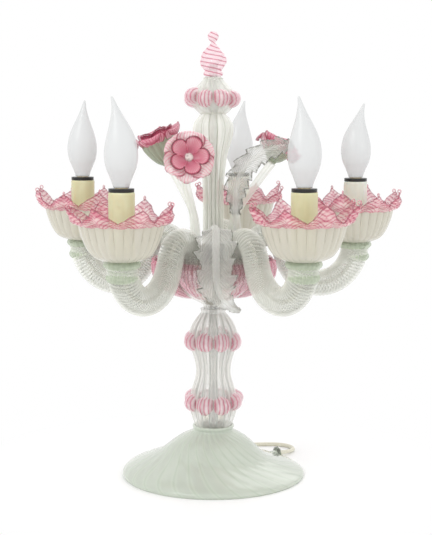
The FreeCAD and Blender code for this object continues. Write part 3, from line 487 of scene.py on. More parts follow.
def coilPoints(info):
    # clockwise from above; the lead changes lane in the last third of a turn
    x, y = info["coilCentre"]
    low, high = info["coilHeights"]
    lanes = [(radius, low) for radius in info["coilRadii"]]
    lanes += [(radius, high) for radius in info["coilRadii"][:0:-1]]
    count = round(info["coilSweep"] / 360 * info["pointsPerTurn"])
    points = []
    for step in range(1, count):
        turns = step / info["pointsPerTurn"]
        lane = int(turns)
        following = lanes[min(lane + 1, len(lanes) - 1)]
        blend = max(0.0, (turns - lane - 0.7) / 0.3)
        radius = lanes[lane][0] + (following[0] - lanes[lane][0]) * blend
        height = lanes[lane][1] + (following[1] - lanes[lane][1]) * blend
        angle = math.radians(info["coilStart"] - 360 * turns)
        points.append((x + radius * math.cos(angle), y + radius * math.sin(angle), height))
    return points


def buildLead(info, material):
    points = [*info["route"], *coilPoints(info), *info["tail"]]
    curve = bpy.data.curves.new("mainsLead", "CURVE")
    curve.dimensions = "3D"
    curve.bevel_depth = info["diameter"] / 2 * mm
    curve.bevel_resolution = 5
    curve.resolution_u = 6
    spline = curve.splines.new("NURBS")
    spline.points.add(len(points) - 1)
    for target, point in zip(spline.points, points):
        target.co = (*(Vector(point) * mm), 1)
    spline.order_u = 3
    spline.use_endpoint_u = True
    lead = bpy.data.objects.new("mainsLead", curve)
    bpy.context.scene.collection.objects.link(lead)
    curve.materials.append(material)
    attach(lead, "lamp")
    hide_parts("cord", "cord_tail", "cord_coil")
    print("lead laid:", len(points), "points")


leadPlastic = leadMaterial()
buildLead(leadInfo, leadPlastic)


# foot, stem and column
footInfo = {
    "profile": ((104.0, 0.2), (105.0, 2.5), (103.5, 5.5), (97.0, 9.2), (88.0, 12.8), (74.0, 18.3),
                (61.0, 24.5), (51.0, 33.0), (40.0, 42.4), (29.0, 48.8), (24.2, 51.6), (22.9, 53.8),
                (24.0, 56.6), (23.0, 58.6), (20.0, 57.8), (14.0, 57.2), (5.4, 57.2)),
    "ribs": 30,
    "ribDepth": 1.3,
    "swirl": 0.028,
    "wall": 3.6,
    "lean": 0.05,
    "nickBearing": 42.0, "nickHalf": 5.5, "nickTop": 9.4,
}


def buildFoot(info):
    foot = turnedShape("footBell", smoothPoints(info["profile"], 4), 240)

    def fade(height):
        return min(1, max(0, (height - 4) / 8)) * min(1, max(0, (53 - height) / 6))

    flute(foot, info["ribs"], info["ribDepth"], info["swirl"] * info["ribs"], fade)

    def lean(point):
        # the left of the flank stands fuller than the right
        height = point.z / mm
        share = math.sin(math.pi * min(1, max(0, height / 52)))
        return Vector((point.x, point.y, point.z - point.x * info["lean"] * share))

    reshape(foot, lean)

    def nick(point):
        # the rim rises over the strain relief
        apart = math.atan2(point.y, point.x) - math.radians(info["nickBearing"])
        away = math.hypot(point.x, point.y) / mm * abs(math.sin(apart))
        if math.cos(apart) > 0 and away < info["nickHalf"] and point.z < info["nickTop"] * mm:
            lift = info["nickTop"] * math.sqrt(1 - (away / info["nickHalf"]) ** 2)
            return Vector((point.x, point.y, max(point.z, lift * mm)))
        return point

    reshape(foot, nick)
    addWall(foot, info["wall"])
    smooth(foot, 50)
    swirl = roundAxis(info["ribs"], info["swirl"] * info["ribs"] / turn / mm * 0.5)
    # the second colour is painted shade in the swirl valleys
    glass = ribbedGlass("opalineFoot", "Object", swirl, (207, 215, 201), (186, 196, 180), 0.84, 0.97,
                        0.1, 0.7, 14)
    return finishPiece(foot, glass, "lamp", "opaline_glass", "foot")


buildFoot(footInfo)

stemInfo = {
    "profile": ((15.0, 59.6), (17.4, 60.5), (20.0, 67.0), (22.3, 77.0), (22.7, 86.0),
                (21.3, 96.0), (18.8, 104.5), (16.4, 112.5), (15.3, 121.0), (16.1, 130.5),
                (18.5, 140.0), (22.0, 151.0), (23.5, 161.0), (21.5, 170.5), (16.0, 180.0),
                (11.5, 186.0), (9.8, 189.5), (11.0, 195.0)),
    "ribs": 18,
    "ribDepth": 2.0,
    "wall": 4.0,
}


def buildStem(info):
    stem = turnedShape("ribbedStem", smoothPoints(info["profile"], 4), info["ribs"] * 10)
    flute(stem, info["ribs"], info["ribDepth"], fade=lambda z: min(1, max(0.15, (z - 60) / 12))
          * min(1, max(0.2, (190 - z) / 12)))
    addWall(stem, info["wall"])
    smooth(stem, 50)
    # the second colour is painted shade in the rib valleys
    glass = ribbedGlass("ribbedGlass", "Object", roundAxis(info["ribs"]), (253, 251, 244), (132, 138, 134),
                        0.27, 0.74, 0.5, 0.36)
    return finishPiece(stem, glass, "lamp", "clear_glass", "stem")


buildStem(stemInfo)

topInfo = {
    "column": ((12.4, 268.2), (11.6, 280.0), (11.2, 300.0), (11.5, 335.0), (13.2, 354.0), (15.5, 370.0),
               (20.0, 384.0), (22.4, 395.0), (21.5, 404.0), (16.5, 412.0), (12.2, 416.8)),
    "knob": ((12.0, 417.2), (15.5, 420.0), (20.0, 425.5), (21.8, 432.0), (19.5, 438.5), (14.0, 445.0),
             (8.8, 450.5), (7.4, 454.0), (8.0, 456.0)),
    "columnRibs": 14,
    "knobRibs": 18,
}


def buildColumn(info):
    column = turnedShape("ribbedColumn", smoothPoints(info["column"], 5), info["columnRibs"] * 10)
    flute(column, info["columnRibs"], 2.2, fade=lambda z: min(1, (418 - z) / 14))
    addWall(column, 3.4)
    smooth(column, 50)
    # the second colour is painted shade in the rib valleys
    glass = ribbedGlass("columnGlass", "Object", roundAxis(info["columnRibs"]), (253, 254, 243),
                        (150, 158, 138), 0.4, 0.74, 0.3, 0.36)
    finishPiece(column, glass, "lamp", "clear_glass", "column")

    knob = turnedShape("ribbedKnob", smoothPoints(info["knob"], 4), info["knobRibs"] * 10)
    flute(knob, info["knobRibs"], 1.0, twist=0.25)
    addWall(knob, 3.4)
    smooth(knob, 50)
    # the second colour is painted shade in the rib valleys
    glass = ribbedGlass("knobGlass", "Object", roundAxis(info["knobRibs"], 40), (246, 246, 236),
                        (190, 196, 182), 0.3, 0.66, 0.3)
    finishPiece(knob, glass, "lamp", "clear_glass", "top_knob")


buildColumn(topInfo)

bowlInfo = {
    "profile": ((11.0, 195.6), (12.5, 199.0), (20.0, 203.5), (34.0, 210.0), (48.0, 220.0), (57.0, 232.0),
                (61.5, 244.0), (63.0, 256.0)),
    "ribs": 24,
}


def buildBowl(info):
    bowl = turnedShape("centreBowl", smoothPoints(info["profile"], 4), info["ribs"] * 8)
    flute(bowl, info["ribs"], 1.6, fade=lambda z: min(1, (z - 195) / 12))
    addWall(bowl, 3.0)
    smooth(bowl, 50)
    # the second colour is painted shade in the rib valleys
    glass = ribbedGlass("bowlGlass", "Object", roundAxis(info["ribs"]), (238, 234, 222), (158, 156, 140),
                        0.2, 0.6, 0.3)
    return finishPiece(bowl, glass, "lamp", "clear_glass", "bowl")


buildBowl(bowlInfo)


# pink glass laid on in pinched lobes
def pinkGlass(name, light, dark, lines, lobes, front=0.34, edge=0.8):
    # fine lines lie across the lobes
    material = glossyGlass(name, light)
    place, axes = coordinates(material, "UV")
    phase = maths(material, "MULTIPLY", axes[0], lines)
    wobble = noise(material, place, 14, 2)
    phase = maths(material, "MULTIPLY_ADD", wobble, 0.7, phase)
    line = valleys(material, phase)
    middle = tuple((a + b) / 2 for a, b in zip(light, dark))
    striped = ramp(material, line, (0.0, dark), (0.3, middle), (0.75, light))
    # the pinches between lobes take the dark pink as painted shade in the creases
    pinch = valleys(material, maths(material, "MULTIPLY", axes[0], lobes))
    share = ramp(material, pinch, (0.1, (255, 255, 255)), (0.4, (0, 0, 0)))
    colourFrom(material, mixColours(material, share, striped, paint(*dark)))
    bumpFrom(material, line, 0.35, 0.5)
    seeThrough(material, front, edge, line, 0.35, 0.5)
    return material


ruffles = (
    # piece, node, level, seat radius, reach, half height, lobes
    ("lowerRuffle", "lower_frill", 86.0, 22.0, 38.4, 11.0, 8),
    ("upperRuffle", "upper_frill", 157.0, 22.4, 36.8, 11.4, 8),
    ("topRuffle", "top_frill", 433.0, 20.6, 36.0, 10.0, 8),
)


def buildRuffle(name, node, level, seat, reach, half, lobes, material, slot="pink_glass"):
    chance = random.Random(name)
    sway = [chance.uniform(-2.2, 2.2) for _ in range(lobes)]
    grow = [chance.uniform(0.74, 1.0) for _ in range(lobes)]

    def place(u, v):
        # round puffed lobes, pinched to the seat between them
        lobe = int(u * lobes) % lobes
        bulge = math.sin(math.pi * (u * lobes % 1.0)) ** 0.55
        height = 2 * v - 1
        shell = max(0.0, 1 - height ** 2) ** 0.5
        fan = 0.4 * math.cos(u * lobes * turn * 5) * bulge * shell
        radius = seat + (reach - seat) * grow[lobe] * (0.05 + 0.95 * bulge) * shell + fan
        rise = height * half * (0.35 + 0.65 * bulge) + sway[lobe] * bulge
        # between two lobes the ribbon is drawn up or down
        rise += (1 - bulge) * 2.5 * math.cos(turn * u * lobes / 2 + sway[0])
        angle = turn * u
        return (radius * math.cos(angle), radius * math.sin(angle), level + rise)

    ruffle = wrappedGrid(name, lobes * 40, 28, place, closed=True)
    addWall(ruffle, 1.2)
    smooth(ruffle, 60)
    return finishPiece(ruffle, material, "lamp", slot, node)


frillGlass = pinkGlass("pinkFrill", (250, 216, 222), (186, 62, 96), 48, 8, 0.4, 0.85)
for ruffle in ruffles:
    buildRuffle(*ruffle, frillGlass)
print("ruffles laid")

skirtInfo = {
    "lobes": 8, "puff": 15.5,
    # the bowl's own radius from the skirt's top to its bottom
    "follow": ((64.5, 252), (60.5, 238), (52.0, 224), (38.0, 212), (29.0, 207)),
}


def buildSkirt(info):
    # broad lobes that hang round the bowl and close in under it
    line = smoothPoints(info["follow"], 8)
    last = len(line) - 1

    def place(u, v):
        around = u * info["lobes"] % 1.0
        bulge = math.sin(math.pi * around) ** 0.75
        reach = (0.42 + 0.58 * bulge) * v
        radius, height = line[round(reach * last)]
        out = math.sin(math.pi * min(1.0, 0.1 + v * 0.9)) ** 0.7
        radius += info["puff"] * (bulge - 0.04) * out
        ridge = 0.45 * math.cos(around * turn * 7) * bulge
        angle = turn * (u + 0.01)
        return ((radius + ridge) * math.cos(angle), (radius + ridge) * math.sin(angle), height)

    skirt = wrappedGrid("bowlSkirt", info["lobes"] * 42, 40, place, closed=True)
    addWall(skirt, 1.4)
    smooth(skirt, 60)
    return finishPiece(skirt, skirtGlass(info), "lamp", "pink_glass", "bowl_frill")


def skirtGlass(info):
    # pink to the left and right, nearly clear in front and behind
    material = glossyGlass("pinkSkirt", (238, 196, 204))
    place, axes = coordinates(material, "UV")
    _, spot = coordinates(material, "Object")
    wobble = maths(material, "MULTIPLY", noise(material, place, 9, 2), 1.6)
    phase = maths(material, "MULTIPLY_ADD", axes[0], info["lobes"] * 12, wobble)
    line = valleys(material, phase)
    pink = ramp(material, line, (0.0, (168, 48, 82)), (0.35, (208, 108, 134)),
                (0.8, (240, 180, 194)))
    # on the clear glass the dark lines are painted shade along its ribs
    clear = ramp(material, line, (0.0, (196, 176, 166)), (0.3, (226, 216, 206)),
                 (0.8, (246, 240, 232)))
    aside = maths(material, "MULTIPLY", maths(material, "ABSOLUTE", spot[0]), 1 / (46 * mm))
    cloud = maths(material, "MULTIPLY_ADD", noise(material, place, 5, 2), 0.9, aside)
    strength = ramp(material, cloud, (0.72, (0, 0, 0)), (1.0, (255, 255, 255)))
    tinted = mixColours(material, strength, clear, pink)
    # the pinches between lobes are darkened as painted shade: grey on the clear glass, deep pink where it is
    # pink
    pinch = valleys(material, maths(material, "MULTIPLY", axes[0], info["lobes"]))
    share = ramp(material, pinch, (0.12, (255, 255, 255)), (0.4, (0, 0, 0)))
    deep = mixColours(material, strength, paint(160, 150, 142), paint(170, 56, 88))
    colourFrom(material, mixColours(material, share, tinted, deep))
    bumpFrom(material, line, 0.3, 0.4)
    seeThrough(material, 0.3, 0.82, line, 0.3, 0.5)
    return material


buildSkirt(skirtInfo)

finialInfo = {
    "profile": ((8.2, 456.2), (10.6, 457.5), (11.0, 460.5), (9.6, 462.8), (11.6, 465.5), (14.2, 471.5),
                (13.8, 477.0), (10.6, 483.5), (5.6, 489.5), (2.8, 492.6), (2.5, 494.2), (4.4, 496.2),
                (6.1, 499.6), (5.6, 503.2), (3.0, 505.8), (0.0, 506.5)),
}


def buildFinial(info):
    finial = turnedShape("budFinial", smoothPoints(info["profile"], 5), 120)

    def fade(height):
        return min(1, max(0, (height - 463) / 5)) * min(1, max(0, (490 - height) / 8))

    flute(finial, 5, 2.4, twist=-0.35, fade=fade)
    smooth(finial, 60)
    material = newMaterial("pinkBud", (244, 178, 196), 0.1, Coat_Weight=0.5)
    _, axes = coordinates(material, "Object")
    line = valleys(material, roundAxis(3, 210)(material, axes))
    colourFrom(material, ramp(material, line, (0.0, (178, 52, 88)), (0.35, (222, 128, 152)),
                              (0.8, (246, 198, 210))))
    bumpFrom(material, line, 0.5, 0.7)
    seeThrough(material, 0.45, 0.85, line, 0.4, 0.5)
    return finishPiece(finial, material, "lamp", "pink_glass", "finial")


buildFinial(finialInfo)

# arms: rope-ribbed tubes bent in one S
armInfo = {
    "rootReach": 45.0, "root": 247.0, "archTop": 277.0, "archRadius": 20.0, "lean": 20.0,
    "reach": 174.0, "end": 261.5,
    "rootTube": 9.6, "endTube": 13.4,
    "ribPitch": 3.2, "ribStarts": 3, "ribDepth": 1.2,
    "sides": 40, "step": 0.5,
}


def armLine(info):
    # points every step along the arm, in its own plane: reach and height
    lean = math.radians(info["lean"])
    arch, spring = info["archRadius"], info["archTop"] - info["archRadius"]
    crest = Vector((info["rootReach"] + arch, spring))
    leave = crest + arch * Vector((math.cos(lean), math.sin(lean)))
    slope = math.tan(lean)
    span = info["reach"] - leave.x - (leave.y - info["end"]) * slope
    bend = span / (1 + math.cos(lean) + math.sin(lean) * slope)
    middle = Vector((info["reach"] - bend, info["end"]))
    meet = middle - bend * Vector((math.cos(lean), math.sin(lean)))
    points = []
    step = info["step"]

    def straight(start, end):
        count = round((end - start).length / step)
        points.extend(start.lerp(end, i / count) for i in range(count))

    def arc(centre, radius, first, last):
        count = round(abs(last - first) * radius / step)
        for i in range(count):
            angle = first + (last - first) * i / count
            points.append(centre + radius * Vector((math.cos(angle), math.sin(angle))))

    straight(Vector((info["rootReach"], info["root"])), Vector((info["rootReach"], spring)))
    arc(crest, arch, math.pi, lean)
    straight(leave, meet)
    arc(middle, bend, math.pi + lean, turn)
    points.append(Vector((info["reach"], info["end"])))
    return points


def buildArm(info):
    line = armLine(info)
    last = len(line) - 1

    def place(u, v):
        index = round(v * last)
        here = line[index]
        ahead = (line[min(index + 1, last)] - line[max(index - 1, 0)]).normalized()
        side = Vector((ahead.y, -ahead.x))
        share = index / last
        tube = info["rootTube"] + (info["endTube"] - info["rootTube"]) * share ** 0.8
        phase = index * info["step"] / info["ribPitch"] + u * info["ribStarts"]
        tube += info["ribDepth"] * (abs(math.sin(math.pi * phase)) - 0.75)
        out = side * math.cos(turn * u) * tube
        return (here.x + out.x, math.sin(turn * u) * tube, here.y + out.y)

    arm = wrappedGrid("armShape", info["sides"], last, place, closed=True)
    addWall(arm, 3.0)
    smooth(arm, 70)
    return arm, last * info["step"]


def ropeGlass(info, length):
    rope = onMap(info["ribStarts"], length / info["ribPitch"])
    # the dark second colour is painted shade between the rope ribs
    return ribbedGlass("ropeGlass", "UV", rope, (253, 254, 243), (92, 104, 76), 0.27, 0.62, 0.6, 0.5, 40)


candles = {}
for number in range(1, 6):
    low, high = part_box("lampholder_%d" % number)
    centre = (low + high) / 2
    candles[number] = {
        "bearing": math.atan2(centre.y, centre.x),
        "place": Matrix.Translation((centre.x, centre.y, 0)),
    }

armShape, armLength = buildArm(armInfo)
armGlass = ropeGlass(armInfo, armLength)
for number, candle in candles.items():
    arm = copyTo(armShape, "ropeArm%d" % number, Matrix.Rotation(candle["bearing"], 4, "Z"))
    finishPiece(arm, armGlass, "lamp", "arm_glass", "arm_%d" % number)
bpy.data.objects.remove(armShape)
print("arms bent, each", round(armLength), "mm along its line")

# what stands on each arm: collar, cup, folded rim, candle sleeve, bulb
collarInfo = {
    "profile": ((13.2, 243.0), (15.6, 245.4), (16.8, 248.6), (15.4, 251.8), (14.4, 254.4), (15.2, 257.0),
                (18.2, 259.8), (19.2, 262.6), (18.0, 265.2), (16.4, 267.3)),
    "ribs": 22,
}
cupInfo = {
    "profile": ((6.0, 267.7), (16.5, 267.9), (22.0, 269.6), (27.8, 272.8), (32.6, 278.8), (36.4, 286.6),
                (39.4, 295.0), (41.6, 304.0)),
    "ribs": 26,
    "ribDepth": 1.7,
    "wall": 2.4,
}
rimInfo = {
    "points": 8, "lip": 41.0, "lipHeight": 302.5, "valley": 50.0, "valleyHeight": 308.0,
    "peak": 59.5, "peakHeight": 326.0, "wall": 1.6,
}


def buildCollar(info):
    collar = turnedShape("collarShape", smoothPoints(info["profile"], 4), info["ribs"] * 8)
    flute(collar, info["ribs"], 0.9)
    addWall(collar, 3.0)
    smooth(collar, 50)
    return collar


def buildCup(info):
    cup = turnedShape("cupShape", smoothPoints(info["profile"], 5), info["ribs"] * 8)
    flute(cup, info["ribs"], info["ribDepth"], fade=lambda z: min(1, max(0, (z - 268) / 5)))
    addWall(cup, info["wall"])
    smooth(cup, 50)
    return cup


def rimPoints(info, seed):
    # how each point of one rim differs: lift, reach, swing, and the dip beside it
    chance = random.Random(seed)
    return [{"lift": chance.uniform(-5.0, 1.5), "reach": chance.uniform(-5.0, 0.5),
             "swing": chance.uniform(-0.09, 0.09), "dip": chance.uniform(-1.5, 2.5)}
            for _ in range(info["points"])]


def buildRim(info, seed):
    count = info["points"]
    points = rimPoints(info, seed)

    def place(u, v):
        turnsOn = u * count
        point = points[int(turnsOn) % count]
        ridge = 1 - abs(2 * (turnsOn % 1.0) - 1)   # 0 in a valley, 1 on a point
        edgeReach = info["valley"] + (info["peak"] + point["reach"] - info["valley"]) * ridge
        valleyLevel = info["valleyHeight"] + point["dip"] * math.sin(math.pi * ridge)
        edgeHeight = valleyLevel + (info["peakHeight"] + point["lift"] - valleyLevel) * ridge ** 1.15
        # the sheet leaves the lip outwards and turns up towards its edge
        reach = info["lip"] + (edgeReach - info["lip"]) * v ** 0.75
        height = info["lipHeight"] + (edgeHeight - info["lipHeight"]) * v ** 1.3
        pleat = 2.8 * math.sin(math.pi * v * 0.8) * math.cos(turn * 2 * turnsOn + point["dip"])
        ripple = 0.5 * math.sin(turn * (5 * v + 3 * abs(ridge - 0.5)))
        angle = turn * u + point["swing"] * ridge * v
        radius = reach + pleat + ripple
        return (radius * math.cos(angle), radius * math.sin(angle), height)

    rim = wrappedGrid("rimShape", count * 24, 20, place, closed=True)
    addWall(rim, info["wall"], outside=0.5)
    return rim


def tipCurls(info, seed):
    # a small open loop of glass ends each point
    curls = []
    for which, point in enumerate(rimPoints(info, seed)):
        angle = turn * (which + 0.5) / info["points"] + point["swing"]
        reach = info["peak"] + point["reach"] - 0.8
        height = info["peakHeight"] + point["lift"] + 0.8
        deselectAll()
        bpy.ops.mesh.primitive_torus_add(
            major_segments=18, minor_segments=8, major_radius=1.9 * mm, minor_radius=0.75 * mm,
            location=(reach * mm, 0, height * mm), rotation=(math.pi / 2, 0, 0))
        curl = bpy.context.object
        bpy.ops.object.transform_apply(location=True, rotation=True, scale=False)
        curl.data.transform(Matrix.Rotation(angle, 4, "Z"))
        curls.append(curl)
    return curls


def cupGlass(info):
    # the second colour is painted shade in the rib valleys
    return ribbedGlass("whiteCup", "UV", onMap(info["ribs"], 0), (252, 247, 237), (206, 202, 187),
                       0.58, 0.82, 0.2, 0.5, 45)


def rimGlass(info):
    # stripes meet in chevrons along the folds
    material = newMaterial("pinkRim", (244, 214, 214), 0.13, IOR=1.45, Coat_Weight=0.4, Coat_Roughness=0.03)
    place, axes = coordinates(material, "UV")
    fold = maths(material, "PINGPONG", maths(material, "MULTIPLY", axes[0], 2 * info["points"]), 1.0)
    phase = maths(material, "MULTIPLY", axes[1], 5.0)
    phase = maths(material, "MULTIPLY_ADD", fold, 5.5, phase)
    phase = maths(material, "MULTIPLY_ADD", noise(material, place, 20, 2), 0.9, phase)
    stripe = valleys(material, phase)
    deep = noise(material, place, 6, 2)
    pale = ramp(material, stripe, (0.0, (184, 84, 112)), (0.35, (222, 158, 168)),
                (0.75, (246, 212, 210)))
    rich = ramp(material, stripe, (0.0, (160, 40, 76)), (0.35, (194, 86, 114)),
                (0.75, (226, 146, 160)))
    patch = ramp(material, deep, (0.42, (0, 0, 0)), (0.56, (255, 255, 255)))
    striped = mixColours(material, patch, pale, rich)
    edge = ramp(material, axes[1], (0.0, (0, 0, 0)), (0.93, (0, 0, 0)), (0.97, (255, 255, 255)))
    colourFrom(material, mixColours(material, edge, striped, paint(160, 58, 84)))
    bumpFrom(material, stripe, 0.3, 0.4)
    seeThrough(material, 0.6, 0.9, stripe, 0.3, 0.5)
    return material


def unwrapAround(piece, low, high):
    # u runs once round the piece's own axis, v from low to high
    layer = piece.data.uv_layers.new(name="around")
    for face in piece.data.polygons:
        middle = math.atan2(face.center.y, face.center.x)
        for corner in face.loop_indices:
            point = piece.data.vertices[piece.data.loops[corner].vertex_index].co
            angle = math.atan2(point.y, point.x)
            if angle - middle > math.pi:
                angle -= turn
            elif middle - angle > math.pi:
                angle += turn
            layer.data[corner].uv = (angle / turn, (point.z / mm - low) / (high - low))


sleeveInfo = {"radius": 13.4, "bottom": 271.0, "top": 336.2, "wall": 1.2, "drips": 7}


def buildSleeve(info, seed):
    chance = random.Random(seed)
    drips = [(chance.uniform(0, turn), chance.uniform(8, 40), chance.uniform(0.3, 0.7))
             for _ in range(info["drips"])]
    count = 44
    rise = (info["top"] - info["bottom"]) / count
    profile = [(info["radius"], info["bottom"] + rise * i) for i in range(count + 1)]
    profile[-1] = (info["radius"] - 0.7, info["top"])
    sleeve = turnedShape("sleeveShape", profile, 72)

    def drip(point):
        angle = math.atan2(point.y, point.x)
        height = point.z / mm
        out = 0.0
        for where, length, depth in drips:
            apart = abs((angle - where + math.pi) % turn - math.pi)
            below = info["top"] - height
            if below < length:
                width = 0.16 if below < length - 3 else 0.2
                out += depth * math.exp(-(apart / width) ** 2) * min(1, (length - below) / 2)
        out += 0.12 * math.sin(3 * angle + height * 0.15)
        radius = math.hypot(point.x, point.y)
        grown = (radius + out * mm) / radius
        return Vector((point.x * grown, point.y * grown, point.z))

    reshape(sleeve, drip)
    addWall(sleeve, info["wall"])
    smooth(sleeve, 50)
    return sleeve


def creamPlastic(name, light, dark):
    material = newMaterial(name, light, 0.45, Subsurface_Weight=0.12, Subsurface_Scale=0.004)
    place, _ = coordinates(material, "Object")
    streaks = noise(material, place, 60, 4, (1, 1, 0.25))
    colourFrom(material, ramp(material, streaks, (0.35, dark), (0.65, light)))
    roughnessFrom(material, streaks, 0.36, 0.55)
    bumpFrom(material, noise(material, place, 220, 3), 0.12, 0.3)
    return material


bulbInfo = {
    "base": 340.8,
    "profile": ((7.6, 0.0), (8.5, 1.2), (9.2, 4.0), (12.2, 12.0), (15.8, 21.0), (17.4, 32.0), (16.6, 43.0),
                (13.8, 54.0), (9.8, 64.5), (6.0, 74.0), (3.4, 82.0), (2.0, 88.0), (1.2, 91.5), (0.0, 92.4)),
    # how far each tip leans, to the viewer's right, and how tall the bulb is
    "bends": {1: (-9.0, 1.0), 2: (-6.5, 1.0), 3: (9.0, 0.93), 4: (7.0, 0.97), 5: (3.5, 0.97)},
    "bendStart": 46.0,
}


def buildBulb(info, number):
    lean, tall = info["bends"][number]
    profile = [(r, z * tall) for r, z in smoothPoints(info["profile"], 4)]
    bulb = turnedShape("flameBulb%d" % number, profile, 64)
    reachUp = info["profile"][-1][1] * tall

    def bend(point):
        share = max(0.0, (point.z / mm - info["bendStart"]) / (reachUp - info["bendStart"]))
        return Vector((point.x + lean * share ** 1.7 * mm, point.y, point.z))

    reshape(bulb, bend)
    unwrapAround(bulb, 0, reachUp)
    smooth(bulb, 60)
    bulb.data.transform(candles[number]["place"] @ Matrix.Translation((0, 0, info["base"] * mm)))
    return bulb


def frostedGlass():
    material = newMaterial("frostedGlass", (238, 238, 238), 0.45, IOR=1.4, Coat_Weight=0.5,
                           Coat_Roughness=0.08)
    place, axes = coordinates(material, "UV")
    haze = noise(material, place, 4, 2)
    height = maths(material, "MULTIPLY_ADD", haze, 0.1, axes[1])
    # darker through the middle of the bulb, lighter at neck and tip: painted shade
    colourFrom(material, ramp(material, height, (0.0, (216, 218, 218)), (0.12, (200, 202, 202)),
                              (0.45, (186, 188, 189)), (0.95, (210, 213, 213))))
    roughnessFrom(material, haze, 0.36, 0.5)
    seeThrough(material, 0.72, 0.86)
    return material


def buildCandles():
    collarShape, cupShape = buildCollar(collarInfo), buildCup(cupInfo)
    unwrapAround(collarShape, 243, 268)
    unwrapAround(cupShape, 267, 304)
    # the second colour is painted shade in the rib valleys
    collarGlass = ribbedGlass("collarGlass", "UV", onMap(collarInfo["ribs"], 0), (250, 252, 240),
                              (178, 190, 164), 0.3, 0.66, 0.35)
    whiteGlass, pinkFold = cupGlass(cupInfo), rimGlass(rimInfo)
    cream = creamPlastic("creamSleeve", (226, 223, 186), (210, 206, 162))
    white = creamPlastic("whiteSleeve", (232, 232, 222), (220, 220, 206))
    frosted = frostedGlass()
    collars = []
    for number, candle in candles.items():
        spin = Matrix.Rotation(candle["bearing"] + 0.2 * number, 4, "Z")
        place = candle["place"] @ spin
        collars.append(copyTo(collarShape, "collar%d" % number, place))
        cup = copyTo(cupShape, "cupBowl%d" % number, place)
        finishPiece(cup, whiteGlass, "lamp", "cup_glass", "drip_cup_%d" % number)
        rimParts = [buildRim(rimInfo, number), *tipCurls(rimInfo, number)]
        rim = joinPieces(rimParts, "foldedRim%d" % number)
        facing = Matrix.Rotation(-math.pi / 2, 4, "Z")   # a valley faces the viewer
        rim.data.transform(candle["place"] @ facing)
        smooth(rim, 40)
        finishPiece(rim, pinkFold, "lamp", "cup_glass")
        sleeve = buildSleeve(sleeveInfo, number)
        sleeve.name = "waxSleeve%d" % number
        sleeve.data.transform(candle["place"])
        finishPiece(sleeve, white if number in (3, 4) else cream, "lamp", "candle_plastic",
                    "candle_sleeve_%d" % number)
        bulb = buildBulb(bulbInfo, number)
        finishPiece(bulb, frosted, "bulb_%d" % number, "bulb_glass", "bulb_glass_%d" % number)
        print("candle", number, "made")
    ring = joinPieces(collars, "glassCollars")
    finishPiece(ring, collarGlass, "lamp", "clear_glass", "arm_collars")
    for shape in (collarShape, cupShape):
        bpy.data.objects.remove(shape)


buildCandles()

# flowers and leaves
flowerInfo = {
    "flower_front": {
        "stalk": ((-21.2, -21.2, 266.5), (-22, -24, 300), (-30, -33, 340), (-27.5, -36, 362)),
        "heart": (-27, -38, 366), "face": (0.08, -0.95, 0.30), "petals": 6, "spin": 0.35, "deep": 0.0,
    },
    "flower_left": {
        "stalk": ((-19.3, 23.0, 266.5), (-23, 27, 300), (-40, 36, 336), (-50, 40, 353)),
        "heart": (-52, 41, 357), "face": (-0.38, -0.05, 0.92), "petals": 5, "spin": 0.5, "deep": 1.0,
    },
    "flower_right": {
        "stalk": ((20.1, 22.3, 266.5), (26, 26, 300), (54, 38, 340), (68, 41, 358)),
        "heart": (68, 42, 361), "face": (0.45, 0.25, 0.82), "petals": 5, "spin": 0.9, "deep": 0.6,
    },
}
petalShape = {"inner": 7.0, "outer": 32.5, "width": 16.5, "rise": 10.0, "curl": 9.0, "wall": 1.2}
innerCup = {"lobes": 5, "reach": 22.5, "rise": 11.0, "wall": 1.2}
calyxShape = {"reach": 12.0, "rise": 4.0, "deepReach": 21.0, "deepRise": 32.0}


def calyxSize(info, deep):
    reach = info["reach"] + (info["deepReach"] - info["reach"]) * deep
    return reach, info["rise"] + (info["deepRise"] - info["rise"]) * deep


def buildPetal(info, count, index, seed, deep):
    chance = random.Random(seed)
    swing = chance.uniform(-0.12, 0.12)
    lift = chance.uniform(-2.5, 2.5) + 2.0 * (index % 2)
    rimReach, rimRise = calyxSize(calyxShape, deep)
    start = info["inner"] + (rimReach - 2 - info["inner"]) * deep
    outer = info["outer"] - 2.5 * deep
    floor = 3 + (rimRise - 7) * deep

    def place(u, v):
        # broad and round at the end, which rolls back
        across = 2 * u - 1
        width = info["width"] * math.sin(math.pi * min(0.9, 0.16 + 0.7 * v)) ** 0.7
        reach = start + (outer - start) * v * (1 - 0.2 * across ** 2 * v)
        rise = floor + (info["rise"] + lift) * math.sin(v * math.pi / 2) ** 1.2
        rise += 3.5 * across ** 2 * v
        back = max(0.0, v - 0.62) / 0.38
        rise -= (info["curl"] + lift) * back ** 2
        reach -= 3.5 * back ** 3
        side = across * width + 0.8 * math.sin(across * 11) * v
        angle = turn * (index + 0.5) / count + swing
        x = reach * math.cos(angle) - side * math.sin(angle)
        y = reach * math.sin(angle) + side * math.cos(angle)
        return (x, y, rise)

    petal = wrappedGrid("petal", 24, 28, place)
    addWall(petal, info["wall"], outside=0.5)
    return petal


def buildInnerCup(info, spin, deep):
    # round lobes with sharp notches between them
    _, rimRise = calyxSize(calyxShape, deep)
    reachOut = info["reach"] - 2 * deep

    def place(u, v):
        angle = turn * u + spin
        lobe = abs(math.cos(info["lobes"] * angle / 2)) ** 0.4
        reach = 3 + (reachOut * (0.56 + 0.44 * lobe) - 3) * v ** (1 - 0.35 * deep)
        rise = 5 + (info["rise"] + (rimRise - 6) * deep) * v ** 1.7 * (0.85 + 0.15 * lobe)
        rise += 2.0 * math.sin(math.pi * v) * (1 - lobe)
        return (reach * math.cos(angle), reach * math.sin(angle), rise)

    cup = wrappedGrid("innerCup", 160, 20, place, closed=True)
    addWall(cup, info["wall"], outside=0.5)
    return cup


